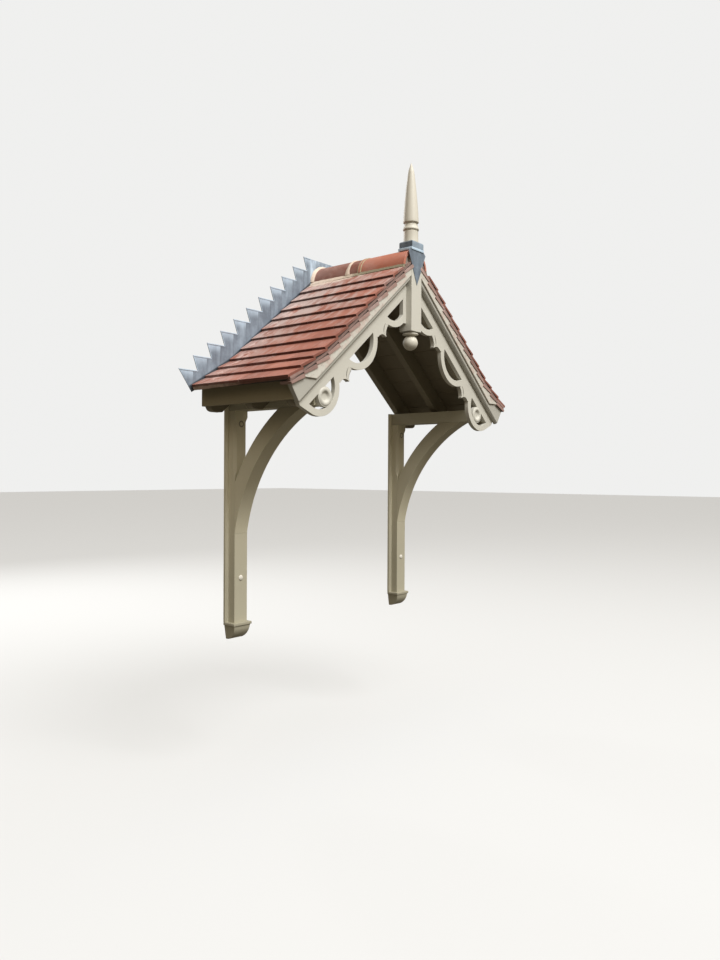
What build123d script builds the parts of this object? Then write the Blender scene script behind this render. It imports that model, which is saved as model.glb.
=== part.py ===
"""Gabled timber entrance porch on two curved brackets, hung on a house wall.

X runs along the wall, Y runs into the wall and Z is up. The front faces -Y and the wall face is
Y = 0. Heights below are counted from the tops of the bracket feet; the finished pieces are then
lowered so that the origin is the middle of the back end of the ridge board, on the wall face.
"""
from build123d import *
import math
import os

# Brackets
bracket_spacing = 1434.0
post_width = 88.0
post_thickness = 46.0
back_board_width = 124.0
back_board_thickness = 20.0
back_board_chamfer = 8.0
post_chamfer = 11.0
post_chamfer_stop = 26.0
post_chamfer_start = 775.0
post_chamfer_end_gap = 30.0
beam_height = 73.0
beam_underside = 1117.0
foot_height = 90.0
foot_overhang = 19.0
foot_fillet_height = 15.0
foot_quirk = 6.0
foot_side_taper = 12.0
foot_nose = 10.0

# Curved brace, an arc that leaves the post and springs to the beam
brace_radius = 886.0
brace_depth = 85.0
brace_foot_height = 470.0
brace_rise_angle = 10.0

# Bolt holes through each post
bolt_hole_radius = 6.5
lower_bolt_height = 235.0
upper_bolt_drop = 68.0

# Roof slope, measured square to it from the line through the fretwork openings
roof_pitch = 40.0
sprocket_pitch = 32.0
fret_apex_rise = 689.0
rafter_under = -5.0
rafter_depth = 95.0
rafter_width = 44.0
middle_rafter_setback = 301.0
rafter_foot_cut = 67.4
rafter_foot_radius = 34.0
ridge_board_thickness = 30.0
ridge_board_drop = 8.0
soffit_board_thickness = 18.0
soffit_board_width = 118.0
soffit_groove = 4.0
batten_height = 25.0
batten_width = 38.0
sprocket_width = 246.0
eaves_half_width = 986.0

# Plain tiles
tile_gauge = 100.0
tile_butt_height = 34.0
tile_head_height = 22.0
tile_crown_height = 5.0
undercloak_thickness = 13.0
undercloak_width = 68.0
wall_gap = 4.0

# Eaves
eaves_overhang = 56.0
fascia_thickness = 22.0
fascia_height = 93.0

# Gable boards, from back to front
fret_front = 652.0
fret_thickness = 25.0
bargeboard_thickness = 26.0
bargeboard_lower_edge = 55.6
bargeboard_foot_setback = 16.0
bargeboard_moulding = 9.0
foot_cut_angle = 56.0
capping_thickness = 9.0
capping_lower_edge = 80.0
capping_foot_setback = 19.2
verge_overhang = 1.0

# Fretwork: every scallop is a ring about its own hub. Points are given as the distance out from
# the centre line and the drop below the apex of the fretwork line
fret_arm_width = 34.0
scroll_place = (753.0, 594.0)
scroll_radius = 150.0
scallop_place = (470.0, 321.0)
scallop_radius = 170.0
apex_place = (165.0, 87.0)
apex_radius = 142.0
leaf_place = (529.0, 557.0)
cusp_place = (226.0, 292.0)
leaf_hollow_outer = 45.0
leaf_hollow_inner = 31.0
fret_foot_setback = 29.0
fret_foot_rise = 40.6
fret_foot_angle = 24.0
fret_stile_reach = 76.0
fret_stile_drop = 194.0
volute_place = (709.0, 646.0)
volute_radius = 50.0
volute_dish_radius = 27.0
volute_dish_depth = 9.0

# King post, pendant and finial
king_post_width = 93.0
king_post_depth = 82.0
king_post_drop = 235.0
collar_radius = 43.5
collar_thickness = 22.0
collar_bevel = 8.0
ball_radius = 42.0
ball_bands = 5
lead_cap_width = 107.0
lead_cap_front_lap = 8.0
lead_cap_height = 40.0
lead_cap_bevel = 5.0
lead_thickness = 3.0
apron_half_width = 79.0
apron_shoulder_drop = 23.0
apron_length = 198.0
spire_drum_height = 60.0
spire_drum_radius = 42.0
spire_groove_radius = 37.0
spire_groove_height = 15.0
spire_ring_radius = 43.0
spire_ring_height = 23.0
spire_taper_height = 280.0
spire_taper_middle_radius = 34.0
taper_middle_share = 0.55
spire_taper_top_radius = 17.0
spire_point_height = 48.0
spire_tip_radius = 1.5

# Ridge
ridge_tile_radius = 108.0
ridge_tile_thickness = 13.0
ridge_tile_centre_drop = 65.0
ridge_tile_lengths = (277.0, 78.0)
ridge_tile_joint = 3.0
ridge_tile_setback = 9.0
ridge_mortar_reach = 124.0

# Lead flashing on the wall
flashing_step_rise = 75.0
flashing_step_width = 90.0
flashing_step_rake = 29.0
flashing_tip_reach = 92.0
flashing_tip_rise = 106.0
flashing_eaves_lap = 10.0
saddle_half_width = 119.0
saddle_rise = 37.0

# Clearance between pieces that are curved or fitted round one another
clearance = 0.3

slope = math.tan(math.radians(roof_pitch))
slope_cosine = math.cos(math.radians(roof_pitch))
sprocket_slope = math.tan(math.radians(sprocket_pitch))
sprocket_start = eaves_half_width - sprocket_width
sprocket_length = sprocket_width / math.cos(math.radians(sprocket_pitch))
slope_length = sprocket_length + sprocket_start / slope_cosine
tile_courses = int((slope_length - ridge_tile_radius) / tile_gauge)
fascia_face = eaves_half_width - eaves_overhang
bargeboard_foot = fascia_face - bargeboard_foot_setback
rafter_top = rafter_under + rafter_depth
soffit_top = rafter_top + soffit_board_thickness
tile_underside = soffit_top + batten_height
bracket_x = bracket_spacing / 2
fret_line_apex = beam_underside + fret_apex_rise
post_front = back_board_thickness + post_thickness
beam_top = beam_underside + beam_height
upper_bolt_height = beam_underside - upper_bolt_drop
fret_back = fret_front - fret_thickness
bargeboard_front = fret_front + bargeboard_thickness
capping_front = bargeboard_front + capping_thickness
verge_front = capping_front + verge_overhang
king_front = verge_front
king_back = king_front - king_post_depth
king_half = king_post_width / 2
king_post_bottom = fret_line_apex - king_post_drop
ridge_centre = fret_line_apex + tile_underside / slope_cosine - ridge_tile_centre_drop
ridge_tile_top = ridge_centre + ridge_tile_radius
ridge_front = verge_front - ridge_tile_setback
lead_cap_bottom = ridge_tile_top + clearance
fascia_inner = fascia_face - fascia_thickness


def slope_height(x, offset):
    """Height of the line that lies `offset` outside the fretwork line, at distance x."""
    return fret_line_apex + offset / slope_cosine - x * slope


def slope_reach(height, offset):
    """Distance from the centre line at which that line has this height."""
    return (fret_line_apex + offset / slope_cosine - height) / slope


def tile_base(x, drop=0.0):
    """Height of the underside of the tiles, which flattens over the sprockets at the eaves."""
    if x <= sprocket_start:
        return slope_height(x, tile_underside - drop)
    kink = slope_height(sprocket_start, tile_underside - drop)
    return kink - (x - sprocket_start) * sprocket_slope


def verge_height(x):
    """Top of the gable boards, under the undercloak."""
    return tile_base(x, undercloak_thickness)


def fret_point(place):
    """Position of a point of the fretwork in the front view."""
    return (place[0], fret_line_apex - place[1])


def polygon(points):
    return Polygon(*points, align=None)


def from_front(sketch, back, depth):
    """Extrude a front-view sketch forward from the depth `back` behind the front."""
    plane = Plane.XZ.offset(back)
    return extrude(plane * sketch, amount=depth, dir=plane.z_dir)


def from_side(sketch, width, centre=0.0):
    """Extrude a side-view sketch to this width about the plane X = centre."""
    plane = Plane.YZ.offset(centre - width / 2)
    return extrude(plane * sketch, amount=width, dir=plane.z_dir)


def box(x_range, y_range, z_range):
    """Solid box between two values on each axis."""
    size = [high - low for low, high in (x_range, y_range, z_range)]
    corner = [low for low, high in (x_range, y_range, z_range)]
    return Pos(*corner) * Box(*size, align=(Align.MIN, Align.MIN, Align.MIN))


def both_sides(right_piece):
    """The right-hand piece and its mirror image."""
    return {"right": right_piece, "left": mirror(right_piece, about=Plane.YZ)}


def slope_band(low, high, outer_x, inner_x=0.0):
    """Front view of a straight layer of the roof between two offsets."""
    return polygon([
        (inner_x, slope_height(inner_x, low)),
        (outer_x, slope_height(outer_x, low)),
        (outer_x, slope_height(outer_x, high)),
        (inner_x, slope_height(inner_x, high)),
    ])


king_post_room = box((-king_half, king_half), (-king_front, -king_back),
                     (king_post_bottom, lead_cap_bottom))


def back_board():
    """Board on the wall behind each post, with its front edges chamfered."""
    half = back_board_width / 2
    arris = back_board_thickness - back_board_chamfer
    outline = polygon([
        (-half, 0), (-half, -arris), (back_board_chamfer - half, -back_board_thickness),
        (half - back_board_chamfer, -back_board_thickness), (half, -arris), (half, 0),
    ])
    board = extrude(Pos(bracket_x, 0) * outline, amount=beam_top, dir=(0, 0, 1))
    return board - bolt_holes()


def bolt_holes():
    """The two holes through post and back board."""
    hole = Cylinder(bolt_hole_radius, 2 * post_front, rotation=(90, 0, 0))
    return [Pos(bracket_x, 0, height) * hole for height in (lower_bolt_height, upper_bolt_height)]


def post():
    """Bracket post with stopped chamfers on its front edges above the brace."""
    body = box((bracket_x - post_width / 2, bracket_x + post_width / 2),
               (-post_front, -back_board_thickness), (0, beam_underside))
    chamfer_top = beam_underside - post_chamfer_end_gap
    cutter_depth = post_chamfer
    cutter = polygon([
        (0, post_chamfer_start),
        (cutter_depth, post_chamfer_start + post_chamfer_stop),
        (cutter_depth, chamfer_top - post_chamfer_stop),
        (0, chamfer_top),
    ])
    wedge_side = cutter_depth * math.sqrt(2)
    for side in (-1, 1):
        corner = Pos(bracket_x + side * post_width / 2, -post_front, 0)
        turned = Plane(origin=(0, 0, 0), x_dir=(-side, 1, 0), z_dir=(1, side, 0))
        profile = turned * Pos(-cutter_depth / wedge_side, 0) * cutter
        wedge = extrude(profile, amount=wedge_side, both=True)
        body -= corner * wedge
    return body - bolt_holes()


def brace():
    """Curved brace: a ring about a centre low in front of the post."""
    reach = brace_radius * math.cos(math.radians(brace_rise_angle))
    drop = brace_radius * math.sin(math.radians(brace_rise_angle))
    centre = Pos(-post_front - reach, brace_foot_height - drop)
    ring = centre * (Circle(brace_radius + brace_depth) - Circle(brace_radius))
    window = polygon([
        (-post_front, brace_foot_height), (-post_front, beam_underside),
        (-fret_back, beam_underside), (-fret_back, brace_foot_height),
    ])
    return from_side(ring & window, post_width, bracket_x)


def beam():
    """Level arm from the back board out to the back of the fretwork."""
    return box((bracket_x - post_width / 2, bracket_x + post_width / 2),
               (-fret_back, -back_board_thickness), (beam_underside, beam_top))


def foot():
    """Moulded corbel under each post: a square top, a quirk and a hollow sweep to the wall."""
    front = post_front + foot_overhang
    half = post_width / 2 + foot_overhang
    depth = foot_height - foot_fillet_height
    sweep = front - foot_quirk - foot_nose
    half_turn = math.sqrt(0.5)
    belly = (-foot_nose - sweep * half_turn, -foot_fillet_height - depth * half_turn)
    heel = (-front + foot_quirk, -foot_fillet_height)
    toe = (-foot_nose, -foot_height)
    side_view = make_face(
        Polyline(toe, (0, -foot_height), (0, 0), (-front, 0), (-front, -foot_fillet_height), heel)
        + ThreePointArc(heel, belly, toe))
    front_view = polygon([
        (-half, 0), (half, 0), (half, -foot_fillet_height),
        (half - foot_quirk, -foot_fillet_height),
        (half - foot_quirk - foot_side_taper, -foot_height),
        (-half + foot_quirk + foot_side_taper, -foot_height),
        (-half + foot_quirk, -foot_fillet_height),
        (-half, -foot_fillet_height),
    ])
    block = from_side(side_view, 2 * half) & from_front(front_view, 0, front)
    return Pos(bracket_x, 0, 0) * block


def rafter(back, inner_x, seat_width):
    """One rafter, notched over the bracket and rounded at its foot."""
    rafter_foot_underside = slope_height(fascia_inner, rafter_under) + rafter_foot_cut
    under_reach = slope_reach(rafter_foot_underside, rafter_under)
    outline = polygon([
        (inner_x, slope_height(inner_x, rafter_under)),
        (under_reach, rafter_foot_underside),
        (fascia_inner, rafter_foot_underside),
        (fascia_inner, slope_height(fascia_inner, rafter_top)),
        (inner_x, slope_height(inner_x, rafter_top)),
    ])
    nose = [vertex for vertex in outline.vertices()
            if abs(vertex.X - fascia_inner) < 1 and abs(vertex.Y - rafter_foot_underside) < 1]
    outline = fillet(nose, rafter_foot_radius)
    seat_outer = bracket_x + seat_width / 2
    seat_inner = bracket_x - seat_width
    seat = polygon([
        (seat_inner, beam_underside), (seat_outer, beam_underside),
        (seat_outer, beam_top), (seat_inner, beam_top),
    ])
    return from_front(outline - seat, back, rafter_width)


def soffit():
    """Boards on the rafters, with a shallow V between each two seen from below."""
    band = slope_band(rafter_top, soffit_top, fascia_inner)
    groove_step = soffit_board_width * slope_cosine
    count = int((fascia_inner - groove_step / 2) / groove_step)
    for number in range(1, count + 1):
        x = number * groove_step
        z = slope_height(x, rafter_top)
        band -= Pos(x, z) * Rot(0, 0, 45 - roof_pitch) * Rectangle(soffit_groove, soffit_groove)
    return from_front(band, 0, fret_back) - king_post_room


def battens():
    """Tile battens on the straight part of the slope."""
    solids = []
    run = tile_gauge * slope_cosine
    count = int((sprocket_start - batten_width) / run)
    for number in range(count):
        outer_x = sprocket_start - number * run
        inner_x = outer_x - batten_width * slope_cosine
        strip = slope_band(soffit_top, tile_underside, outer_x, inner_x)
        solids.append(from_front(strip, wall_gap, fret_back - wall_gap))
    return solids


def tile_surface(distance, height):
    """Point at this height square off the tile base, a distance up the slope from the eaves."""
    if distance < sprocket_length:
        pitch = math.radians(sprocket_pitch)
        x = eaves_half_width - distance * math.cos(pitch)
    else:
        pitch = math.radians(roof_pitch)
        x = sprocket_start - (distance - sprocket_length) * math.cos(pitch)
    return (x + height * math.sin(pitch), tile_base(x) + height * math.cos(pitch))


def tile_crown():
    return (0, tile_base(0) + tile_crown_height / slope_cosine)


def tile_outline():
    """Front view of the tiling: each course stands on the one below it."""
    top = []
    for course in range(tile_courses):
        top.append(tile_surface(course * tile_gauge, tile_butt_height))
        top.append(tile_surface((course + 1) * tile_gauge, tile_head_height))
    outline = [(0, tile_base(0)), (sprocket_start, tile_base(sprocket_start)),
               (eaves_half_width, tile_base(eaves_half_width)), tile_surface(0, tile_head_height)]
    return polygon(outline + top[:-1] + [tile_crown()])


def tiles():
    return from_front(tile_outline(), wall_gap, verge_front - wall_gap) - king_post_room


def undercloak():
    """Tiles bedded under the verge on top of the gable boards."""
    strip = polygon([
        (0, tile_base(0)), (sprocket_start, tile_base(sprocket_start)),
        (eaves_half_width, tile_base(eaves_half_width)),
        (eaves_half_width, verge_height(eaves_half_width)),
        (sprocket_start, verge_height(sprocket_start)), (0, verge_height(0)),
    ])
    back = verge_front - undercloak_width
    return from_front(strip, back, undercloak_width) - king_post_room


def fascia():
    """Board across the rafter feet that carries the lowest course."""
    fascia_underside = verge_height(fascia_face) - fascia_height
    outline = polygon([
        (fascia_inner, fascia_underside), (fascia_face, fascia_underside),
        (fascia_face, verge_height(fascia_face)), (fascia_inner, verge_height(fascia_inner)),
    ])
    tall = polygon([
        (fascia_inner, fascia_underside), (fascia_face, fascia_underside),
        (fascia_face, tile_base(fascia_face)), (fascia_inner, tile_base(fascia_inner)),
    ])
    back = verge_front - undercloak_width
    rear = from_front(tall, 0, back)
    return rear + from_front(outline, back, fret_front - back)


def under_verge(outer_x, floor=0.0):
    """Everything below the verge line as far out as outer_x."""
    return polygon([
        (king_half, floor), (outer_x, floor), (outer_x, verge_height(outer_x)),
        (sprocket_start, verge_height(sprocket_start)), (king_half, verge_height(king_half)),
    ])


def bargeboard():
    """Main board of the gable, cut square at its foot, with a moulded lower edge."""
    foot_z = slope_height(bargeboard_foot, bargeboard_lower_edge)
    cut_slope = math.tan(math.radians(foot_cut_angle))
    kink_z = verge_height(sprocket_start)
    rise = kink_z - foot_z - (bargeboard_foot - sprocket_start) * sprocket_slope
    corner_x = bargeboard_foot + rise / (cut_slope + sprocket_slope)
    outline = polygon([
        (king_half, slope_height(king_half, bargeboard_lower_edge)),
        (bargeboard_foot, foot_z), (corner_x, verge_height(corner_x)),
        (sprocket_start, kink_z), (king_half, verge_height(king_half)),
    ])
    board = from_front(outline, fret_front, bargeboard_thickness)
    edge = board.edges().filter_by(lambda item: abs(item.center().Y + bargeboard_front) < 1)
    lower = [item for item in edge if item.length > bargeboard_foot
             and item.center().Z < slope_height(item.center().X, bargeboard_lower_edge) + 1]
    return chamfer(lower, bargeboard_moulding)


def capping():
    """Thinner board on the face of the bargeboard, cut level above the foot."""
    outer = fascia_face - capping_foot_setback
    inner = slope_reach(verge_height(outer), capping_lower_edge)
    outline = polygon([
        (king_half, slope_height(king_half, capping_lower_edge)),
        (inner, verge_height(outer)), (outer, verge_height(outer)),
        (sprocket_start, verge_height(sprocket_start)), (king_half, verge_height(king_half)),
    ])
    return from_front(outline, bargeboard_front, capping_thickness)


def hollow_centre(tip, hub, hub_radius, hollow_radius, side):
    """Centre of a hollow that passes through the tip and is tangent to the ring round the hub."""
    gap_x = hub[0] - tip[0]
    gap_z = hub[1] - tip[1]
    distance = math.hypot(gap_x, gap_z)
    reach = hub_radius + hollow_radius
    along = (distance ** 2 + hollow_radius ** 2 - reach ** 2) / (2 * distance)
    across = math.sqrt(max(hollow_radius ** 2 - along ** 2, 0.0))
    x = tip[0] + (along * gap_x - side * across * gap_z) / distance
    z = tip[1] + (along * gap_z + side * across * gap_x) / distance
    return (x, z)


def leaf(tip, lower_hub, lower_radius, upper_hub, upper_radius):
    """Pointed leaf between two scallops, hollowed on both of its sides."""
    web = polygon([tip, lower_hub, (lower_hub[0], upper_hub[1]), upper_hub])
    outer = hollow_centre(tip, lower_hub, lower_radius, leaf_hollow_outer, -1)
    inner = hollow_centre(tip, upper_hub, upper_radius, leaf_hollow_inner, 1)
    hollows = Pos(*outer) * Circle(leaf_hollow_outer) + Pos(*inner) * Circle(leaf_hollow_inner)
    return web, hollows


def fret_outline():
    """Front view of the fretwork board with its scallops, leaves and scroll."""
    outer_x = fascia_inner - clearance
    cut_slope = math.tan(math.radians(foot_cut_angle))
    foot_tip_x = bargeboard_foot - fret_foot_setback
    foot_tip = (foot_tip_x, slope_height(foot_tip_x, 0) + fret_foot_rise)
    rail_foot = slope_reach(foot_tip[1], 0)
    rail = polygon([
        (king_half, slope_height(king_half, 0)), (rail_foot, slope_height(rail_foot, 0)),
        foot_tip, (outer_x, foot_tip[1] + (outer_x - foot_tip[0]) * cut_slope),
        (outer_x, verge_height(outer_x)), (sprocket_start, verge_height(sprocket_start)),
        (king_half, verge_height(king_half)),
    ])
    stile_bottom = fret_line_apex - fret_stile_drop
    stile = polygon([
        (king_half, stile_bottom), (fret_stile_reach, stile_bottom),
        (fret_stile_reach, slope_height(fret_stile_reach, 0)),
        (king_half, slope_height(king_half, 0)),
    ])
    scroll_hub = fret_point(scroll_place)
    hubs = [(scroll_hub, scroll_radius), (fret_point(scallop_place), scallop_radius),
            (fret_point(apex_place), apex_radius)]
    board = rail + stile
    for hub, radius in hubs:
        board += Pos(*hub) * Circle(radius)
    sweep = math.radians(fret_foot_angle)
    touch = (scroll_hub[0] + scroll_radius * math.sin(sweep),
             scroll_hub[1] - scroll_radius * math.cos(sweep))
    board += polygon([scroll_hub, touch, foot_tip, (rail_foot, slope_height(rail_foot, 0))])
    for place, lower, upper in ((leaf_place, 0, 1), (cusp_place, 1, 2)):
        web, hollows = leaf(fret_point(place), *hubs[lower], *hubs[upper])
        board = board + web - hollows
    board &= under_verge(outer_x)

    below_rail = polygon([
        (fret_stile_reach, slope_height(fret_stile_reach, 0)),
        (fret_stile_reach, 0), (fascia_face, 0), (fascia_face, slope_height(fascia_face, 0)),
    ])
    inner_touch = (scroll_hub[0] + (scroll_radius - fret_arm_width) * math.sin(sweep),
                   scroll_hub[1] - (scroll_radius - fret_arm_width) * math.cos(sweep))
    run = bargeboard_foot - inner_touch[0]
    toe = polygon([scroll_hub, inner_touch,
                   (bargeboard_foot, inner_touch[1] + run * math.tan(sweep))])
    openings = toe
    for hub, radius in hubs:
        openings += Pos(*hub) * Circle(radius - fret_arm_width)
    openings = openings & below_rail
    openings -= Pos(*fret_point(volute_place)) * Circle(volute_radius)
    return board - openings


def fretwork():
    """Pierced board of the gable, with a dished volute at the end of its scroll."""
    board = from_front(fret_outline(), fret_back, fret_thickness)
    volute_x, volute_z = fret_point(volute_place)
    dish = Cylinder(volute_dish_radius, 2 * volute_dish_depth, rotation=(90, 0, 0))
    return board - Pos(volute_x, -fret_front, volute_z) * dish


def king_post():
    """Square post in front of the apex, from the pendant up to the lead cap."""
    return king_post_room


def king_axis():
    return -(king_front + king_back) / 2


def pendant():
    """Turned collar and ball under the king post."""
    turn = math.pi / ball_bands
    corner_radius = ball_radius / math.cos(turn / 2)
    ball = [(corner_radius * math.sin(band * turn), corner_radius * math.cos(band * turn))
            for band in range(1, ball_bands)]
    bead = [(collar_radius, collar_thickness), (collar_radius, collar_bevel),
            (collar_radius - collar_bevel, 0)]
    centre = -corner_radius * math.cos(turn)
    profile = [(0, collar_thickness)] + bead + [(x, centre + z) for x, z in ball]
    profile.append((0, centre - ball_radius))
    turned = revolve(Plane.XZ * polygon(profile), Axis.Z)
    return Pos(0, king_axis(), king_post_bottom - collar_thickness) * turned


def lead_cap():
    """Lead-dressed block on the king post, bevelled round its top."""
    half = lead_cap_width / 2
    block = box((-half, half), (-king_front - lead_cap_front_lap, -king_back),
                (lead_cap_bottom, lead_cap_bottom + lead_cap_height))
    top = block.faces().sort_by(Axis.Z)[-1]
    return chamfer(top.edges(), lead_cap_bevel)


def lead_apron():
    """Pointed lead sheet dressed down the front of the king post."""
    half_top = lead_cap_width / 2
    shoulder = lead_cap_bottom - apron_shoulder_drop
    outline = polygon([
        (-half_top, lead_cap_bottom), (half_top, lead_cap_bottom),
        (apron_half_width, shoulder), (0, lead_cap_bottom - apron_length),
        (-apron_half_width, shoulder),
    ])
    return from_front(outline, king_front, lead_thickness)


def finial_spire():
    """Turned finial: drum, ring between two grooves and a full taper to a point."""
    ring_bottom = spire_drum_height + spire_groove_height
    ring_top = ring_bottom + spire_ring_height
    taper_bottom = ring_top + spire_groove_height
    taper_top = taper_bottom + spire_taper_height
    taper_middle = taper_bottom + spire_taper_height * taper_middle_share
    profile = [
        (0, 0), (spire_drum_radius, 0), (spire_drum_radius, spire_drum_height),
        (spire_groove_radius, spire_drum_height), (spire_groove_radius, ring_bottom),
        (spire_ring_radius, ring_bottom), (spire_ring_radius, ring_top),
        (spire_groove_radius, ring_top), (spire_groove_radius, taper_bottom),
        (spire_ring_radius, taper_bottom), (spire_taper_middle_radius, taper_middle),
        (spire_taper_top_radius, taper_top),
        (spire_tip_radius, taper_top + spire_point_height), (0, taper_top + spire_point_height),
    ]
    turned = revolve(Plane.XZ * polygon(profile), Axis.Z)
    return Pos(0, king_axis(), lead_cap_bottom + lead_cap_height) * turned


def ridge_board_range():
    """Bottom and top of the ridge board."""
    half = ridge_board_thickness / 2
    return (slope_height(half, rafter_under) - ridge_board_drop, slope_height(half, rafter_top))


def ridge_board():
    """Board between the rafter heads; its back end lies on the wall."""
    half = ridge_board_thickness / 2
    return box((-half, half), (-king_back, 0), ridge_board_range())


def top_course_height(x):
    """Top of the highest course near the apex, a straight line from its butt to the crown."""
    crown = tile_crown()[1]
    butt_x, butt = tile_surface((tile_courses - 1) * tile_gauge, tile_butt_height)
    return crown + (butt - crown) * x / butt_x


def ridge_arch(radius):
    """Front view of half a disc about the ridge centre, down to where the ridge tiles sit."""
    seat = top_course_height(ridge_tile_radius - ridge_tile_thickness) + clearance
    above = Rectangle(4 * radius, 2 * radius, align=(Align.CENTER, Align.MIN))
    return (Pos(0, ridge_centre) * Circle(radius)) & (Pos(0, seat) * above)


def ridge_tiles():
    """Three ridge tiles laid end to end from the wall."""
    inner = Pos(0, ridge_centre) * Circle(ridge_tile_radius - ridge_tile_thickness)
    first, second = ridge_tile_lengths
    starts = [wall_gap, wall_gap + first, wall_gap + first + second]
    ends = [starts[1] - ridge_tile_joint, starts[2] - ridge_tile_joint, ridge_front]
    solids = []
    for start, end in zip(starts, ends):
        solids.append(from_front(ridge_arch(ridge_tile_radius) - inner, start, end - start))
    solids[-1] -= king_post_room
    return solids


def ridge_mortar():
    """Fillet of mortar between the ridge tiles and the top course."""
    inner = ridge_tile_radius - ridge_tile_thickness
    seat = top_course_height(inner)
    bedding = polygon([
        (inner, seat), (ridge_tile_radius + clearance, seat),
        (ridge_mortar_reach, top_course_height(ridge_mortar_reach)),
    ])
    return from_front(bedding, wall_gap, ridge_front - wall_gap)


def stepped_flashing():
    """Lead let into the brick courses in raking steps above the tiles."""
    tip_x = eaves_half_width + flashing_tip_reach
    tip_z = tile_base(eaves_half_width) + flashing_tip_rise
    outer = eaves_half_width + flashing_eaves_lap
    edge = [(outer, tile_base(outer))]
    flashing_steps = math.ceil((tip_x - saddle_half_width) / flashing_step_width)
    for step in range(flashing_steps):
        x = tip_x - step * flashing_step_width
        z = tip_z + step * flashing_step_rise
        edge.append((x, z))
        inner = x - flashing_step_width - flashing_step_rake
        if step == flashing_steps - 1:
            inner = saddle_half_width
        edge.append((inner, z))
    start = saddle_half_width
    edge += [(start, tile_base(start)), (sprocket_start, tile_base(sprocket_start))]
    return from_front(polygon(edge), 0, lead_thickness)


def ridge_saddle():
    """Lead behind the end of the ridge, between the two flights of steps."""
    half = saddle_half_width - clearance
    outline = polygon([
        (-half, tile_base(half)), (0, tile_base(0)), (half, tile_base(half)),
        (half, ridge_tile_top + saddle_rise), (-half, ridge_tile_top + saddle_rise),
    ])
    return from_front(outline, 0, lead_thickness)


pieces = {}
for name, maker in {
    "back_board": back_board, "post": post, "brace": brace, "beam": beam, "foot": foot,
    "soffit_boards": soffit, "battens": battens, "roof_tiles": tiles,
    "undercloak": undercloak, "fascia": fascia, "bargeboard": bargeboard,
    "bargeboard_capping": capping, "fretwork": fretwork, "ridge_mortar": ridge_mortar,
    "stepped_flashing": stepped_flashing,
}.items():
    made = maker()
    solids = made if isinstance(made, list) else [made]
    for side in ("left", "right"):
        pieces[f"{side}_{name}"] = [both_sides(solid)[side] for solid in solids]

rafter_places = {
    "wall_rafter": (0.0, ridge_board_thickness / 2, back_board_width),
    "middle_rafter": (middle_rafter_setback, ridge_board_thickness / 2, post_width),
    "front_rafter": (fret_back - rafter_width, king_half, post_width),
}
for name, place in rafter_places.items():
    for side, solid in both_sides(rafter(*place)).items():
        pieces[f"{side}_{name}"] = [solid]

pieces["ridge_board"] = [ridge_board()]
pieces["king_post"] = [king_post()]
pieces["pendant_ball"] = [pendant()]
pieces["lead_cap"] = [lead_cap()]
pieces["lead_apron"] = [lead_apron()]
pieces["finial_spire"] = [finial_spire()]
pieces["ridge_tiles"] = ridge_tiles()
pieces["ridge_saddle"] = [ridge_saddle()]

datum = sum(ridge_board_range()) / 2
os.makedirs("parts", exist_ok=True)
for name, solids in pieces.items():
    flat = [solid for piece in solids for solid in piece.solids()]
    shape = Pos(0, 0, -datum) * (Compound(children=flat) if len(flat) > 1 else flat[0])
    export_step(shape, os.path.join("parts", f"{name}.step"))
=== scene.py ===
"""Dresses the packed entrance porch: painted timber, clay tiles, mortar, lead and bolts.

Lengths are in metres in the frame of the part: X along the wall, Y into the wall, Z up.
"""

import math

import bmesh
import bpy
from mathutils import Matrix, Vector, noise


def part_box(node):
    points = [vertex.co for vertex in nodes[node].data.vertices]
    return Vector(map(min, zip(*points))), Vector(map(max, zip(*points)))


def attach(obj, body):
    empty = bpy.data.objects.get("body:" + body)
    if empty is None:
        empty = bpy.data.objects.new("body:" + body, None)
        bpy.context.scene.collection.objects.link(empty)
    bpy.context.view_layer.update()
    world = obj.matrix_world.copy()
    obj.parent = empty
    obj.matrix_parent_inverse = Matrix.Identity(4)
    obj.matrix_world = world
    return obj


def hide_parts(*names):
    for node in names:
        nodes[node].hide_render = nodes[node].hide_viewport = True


bl_info = {
    "name": "Gabled Entrance Porch",
    "version": (1, 0, 0),
    "blender": (4, 5, 0),
    "location": "View3D > Sidebar > Porch",
    "description": "Finishes a gabled timber porch with paint, tiles, mortar and lead",
    "category": "Object",
}

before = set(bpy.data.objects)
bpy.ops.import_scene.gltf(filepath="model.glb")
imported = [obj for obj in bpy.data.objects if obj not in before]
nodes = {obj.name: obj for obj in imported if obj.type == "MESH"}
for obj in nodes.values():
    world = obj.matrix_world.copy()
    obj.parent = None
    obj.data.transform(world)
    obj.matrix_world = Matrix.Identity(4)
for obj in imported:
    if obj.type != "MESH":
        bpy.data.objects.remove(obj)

ROOF_PITCH = math.radians(40.0)
SPROCKET_PITCH = math.radians(32.0)
SIDES = {"left": -1, "right": 1}
DAYLIGHT = (1.0, 0.99, 0.97)


def colour_property(name, description, default):
    return bpy.props.FloatVectorProperty(
        name=name, description=description, default=default, size=3,
        min=0.0, max=1.0, subtype="COLOR")


def length_property(name, description, default):
    return bpy.props.FloatProperty(
        name=name, description=description, default=default, min=0.0,
        unit="LENGTH", subtype="DISTANCE", precision=4)


def number_property(name, description, default, subtype="NONE"):
    return bpy.props.FloatProperty(
        name=name, description=description, default=default, subtype=subtype)


def count_property(name, description, default):
    return bpy.props.IntProperty(name=name, description=description, default=default, min=1)


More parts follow.
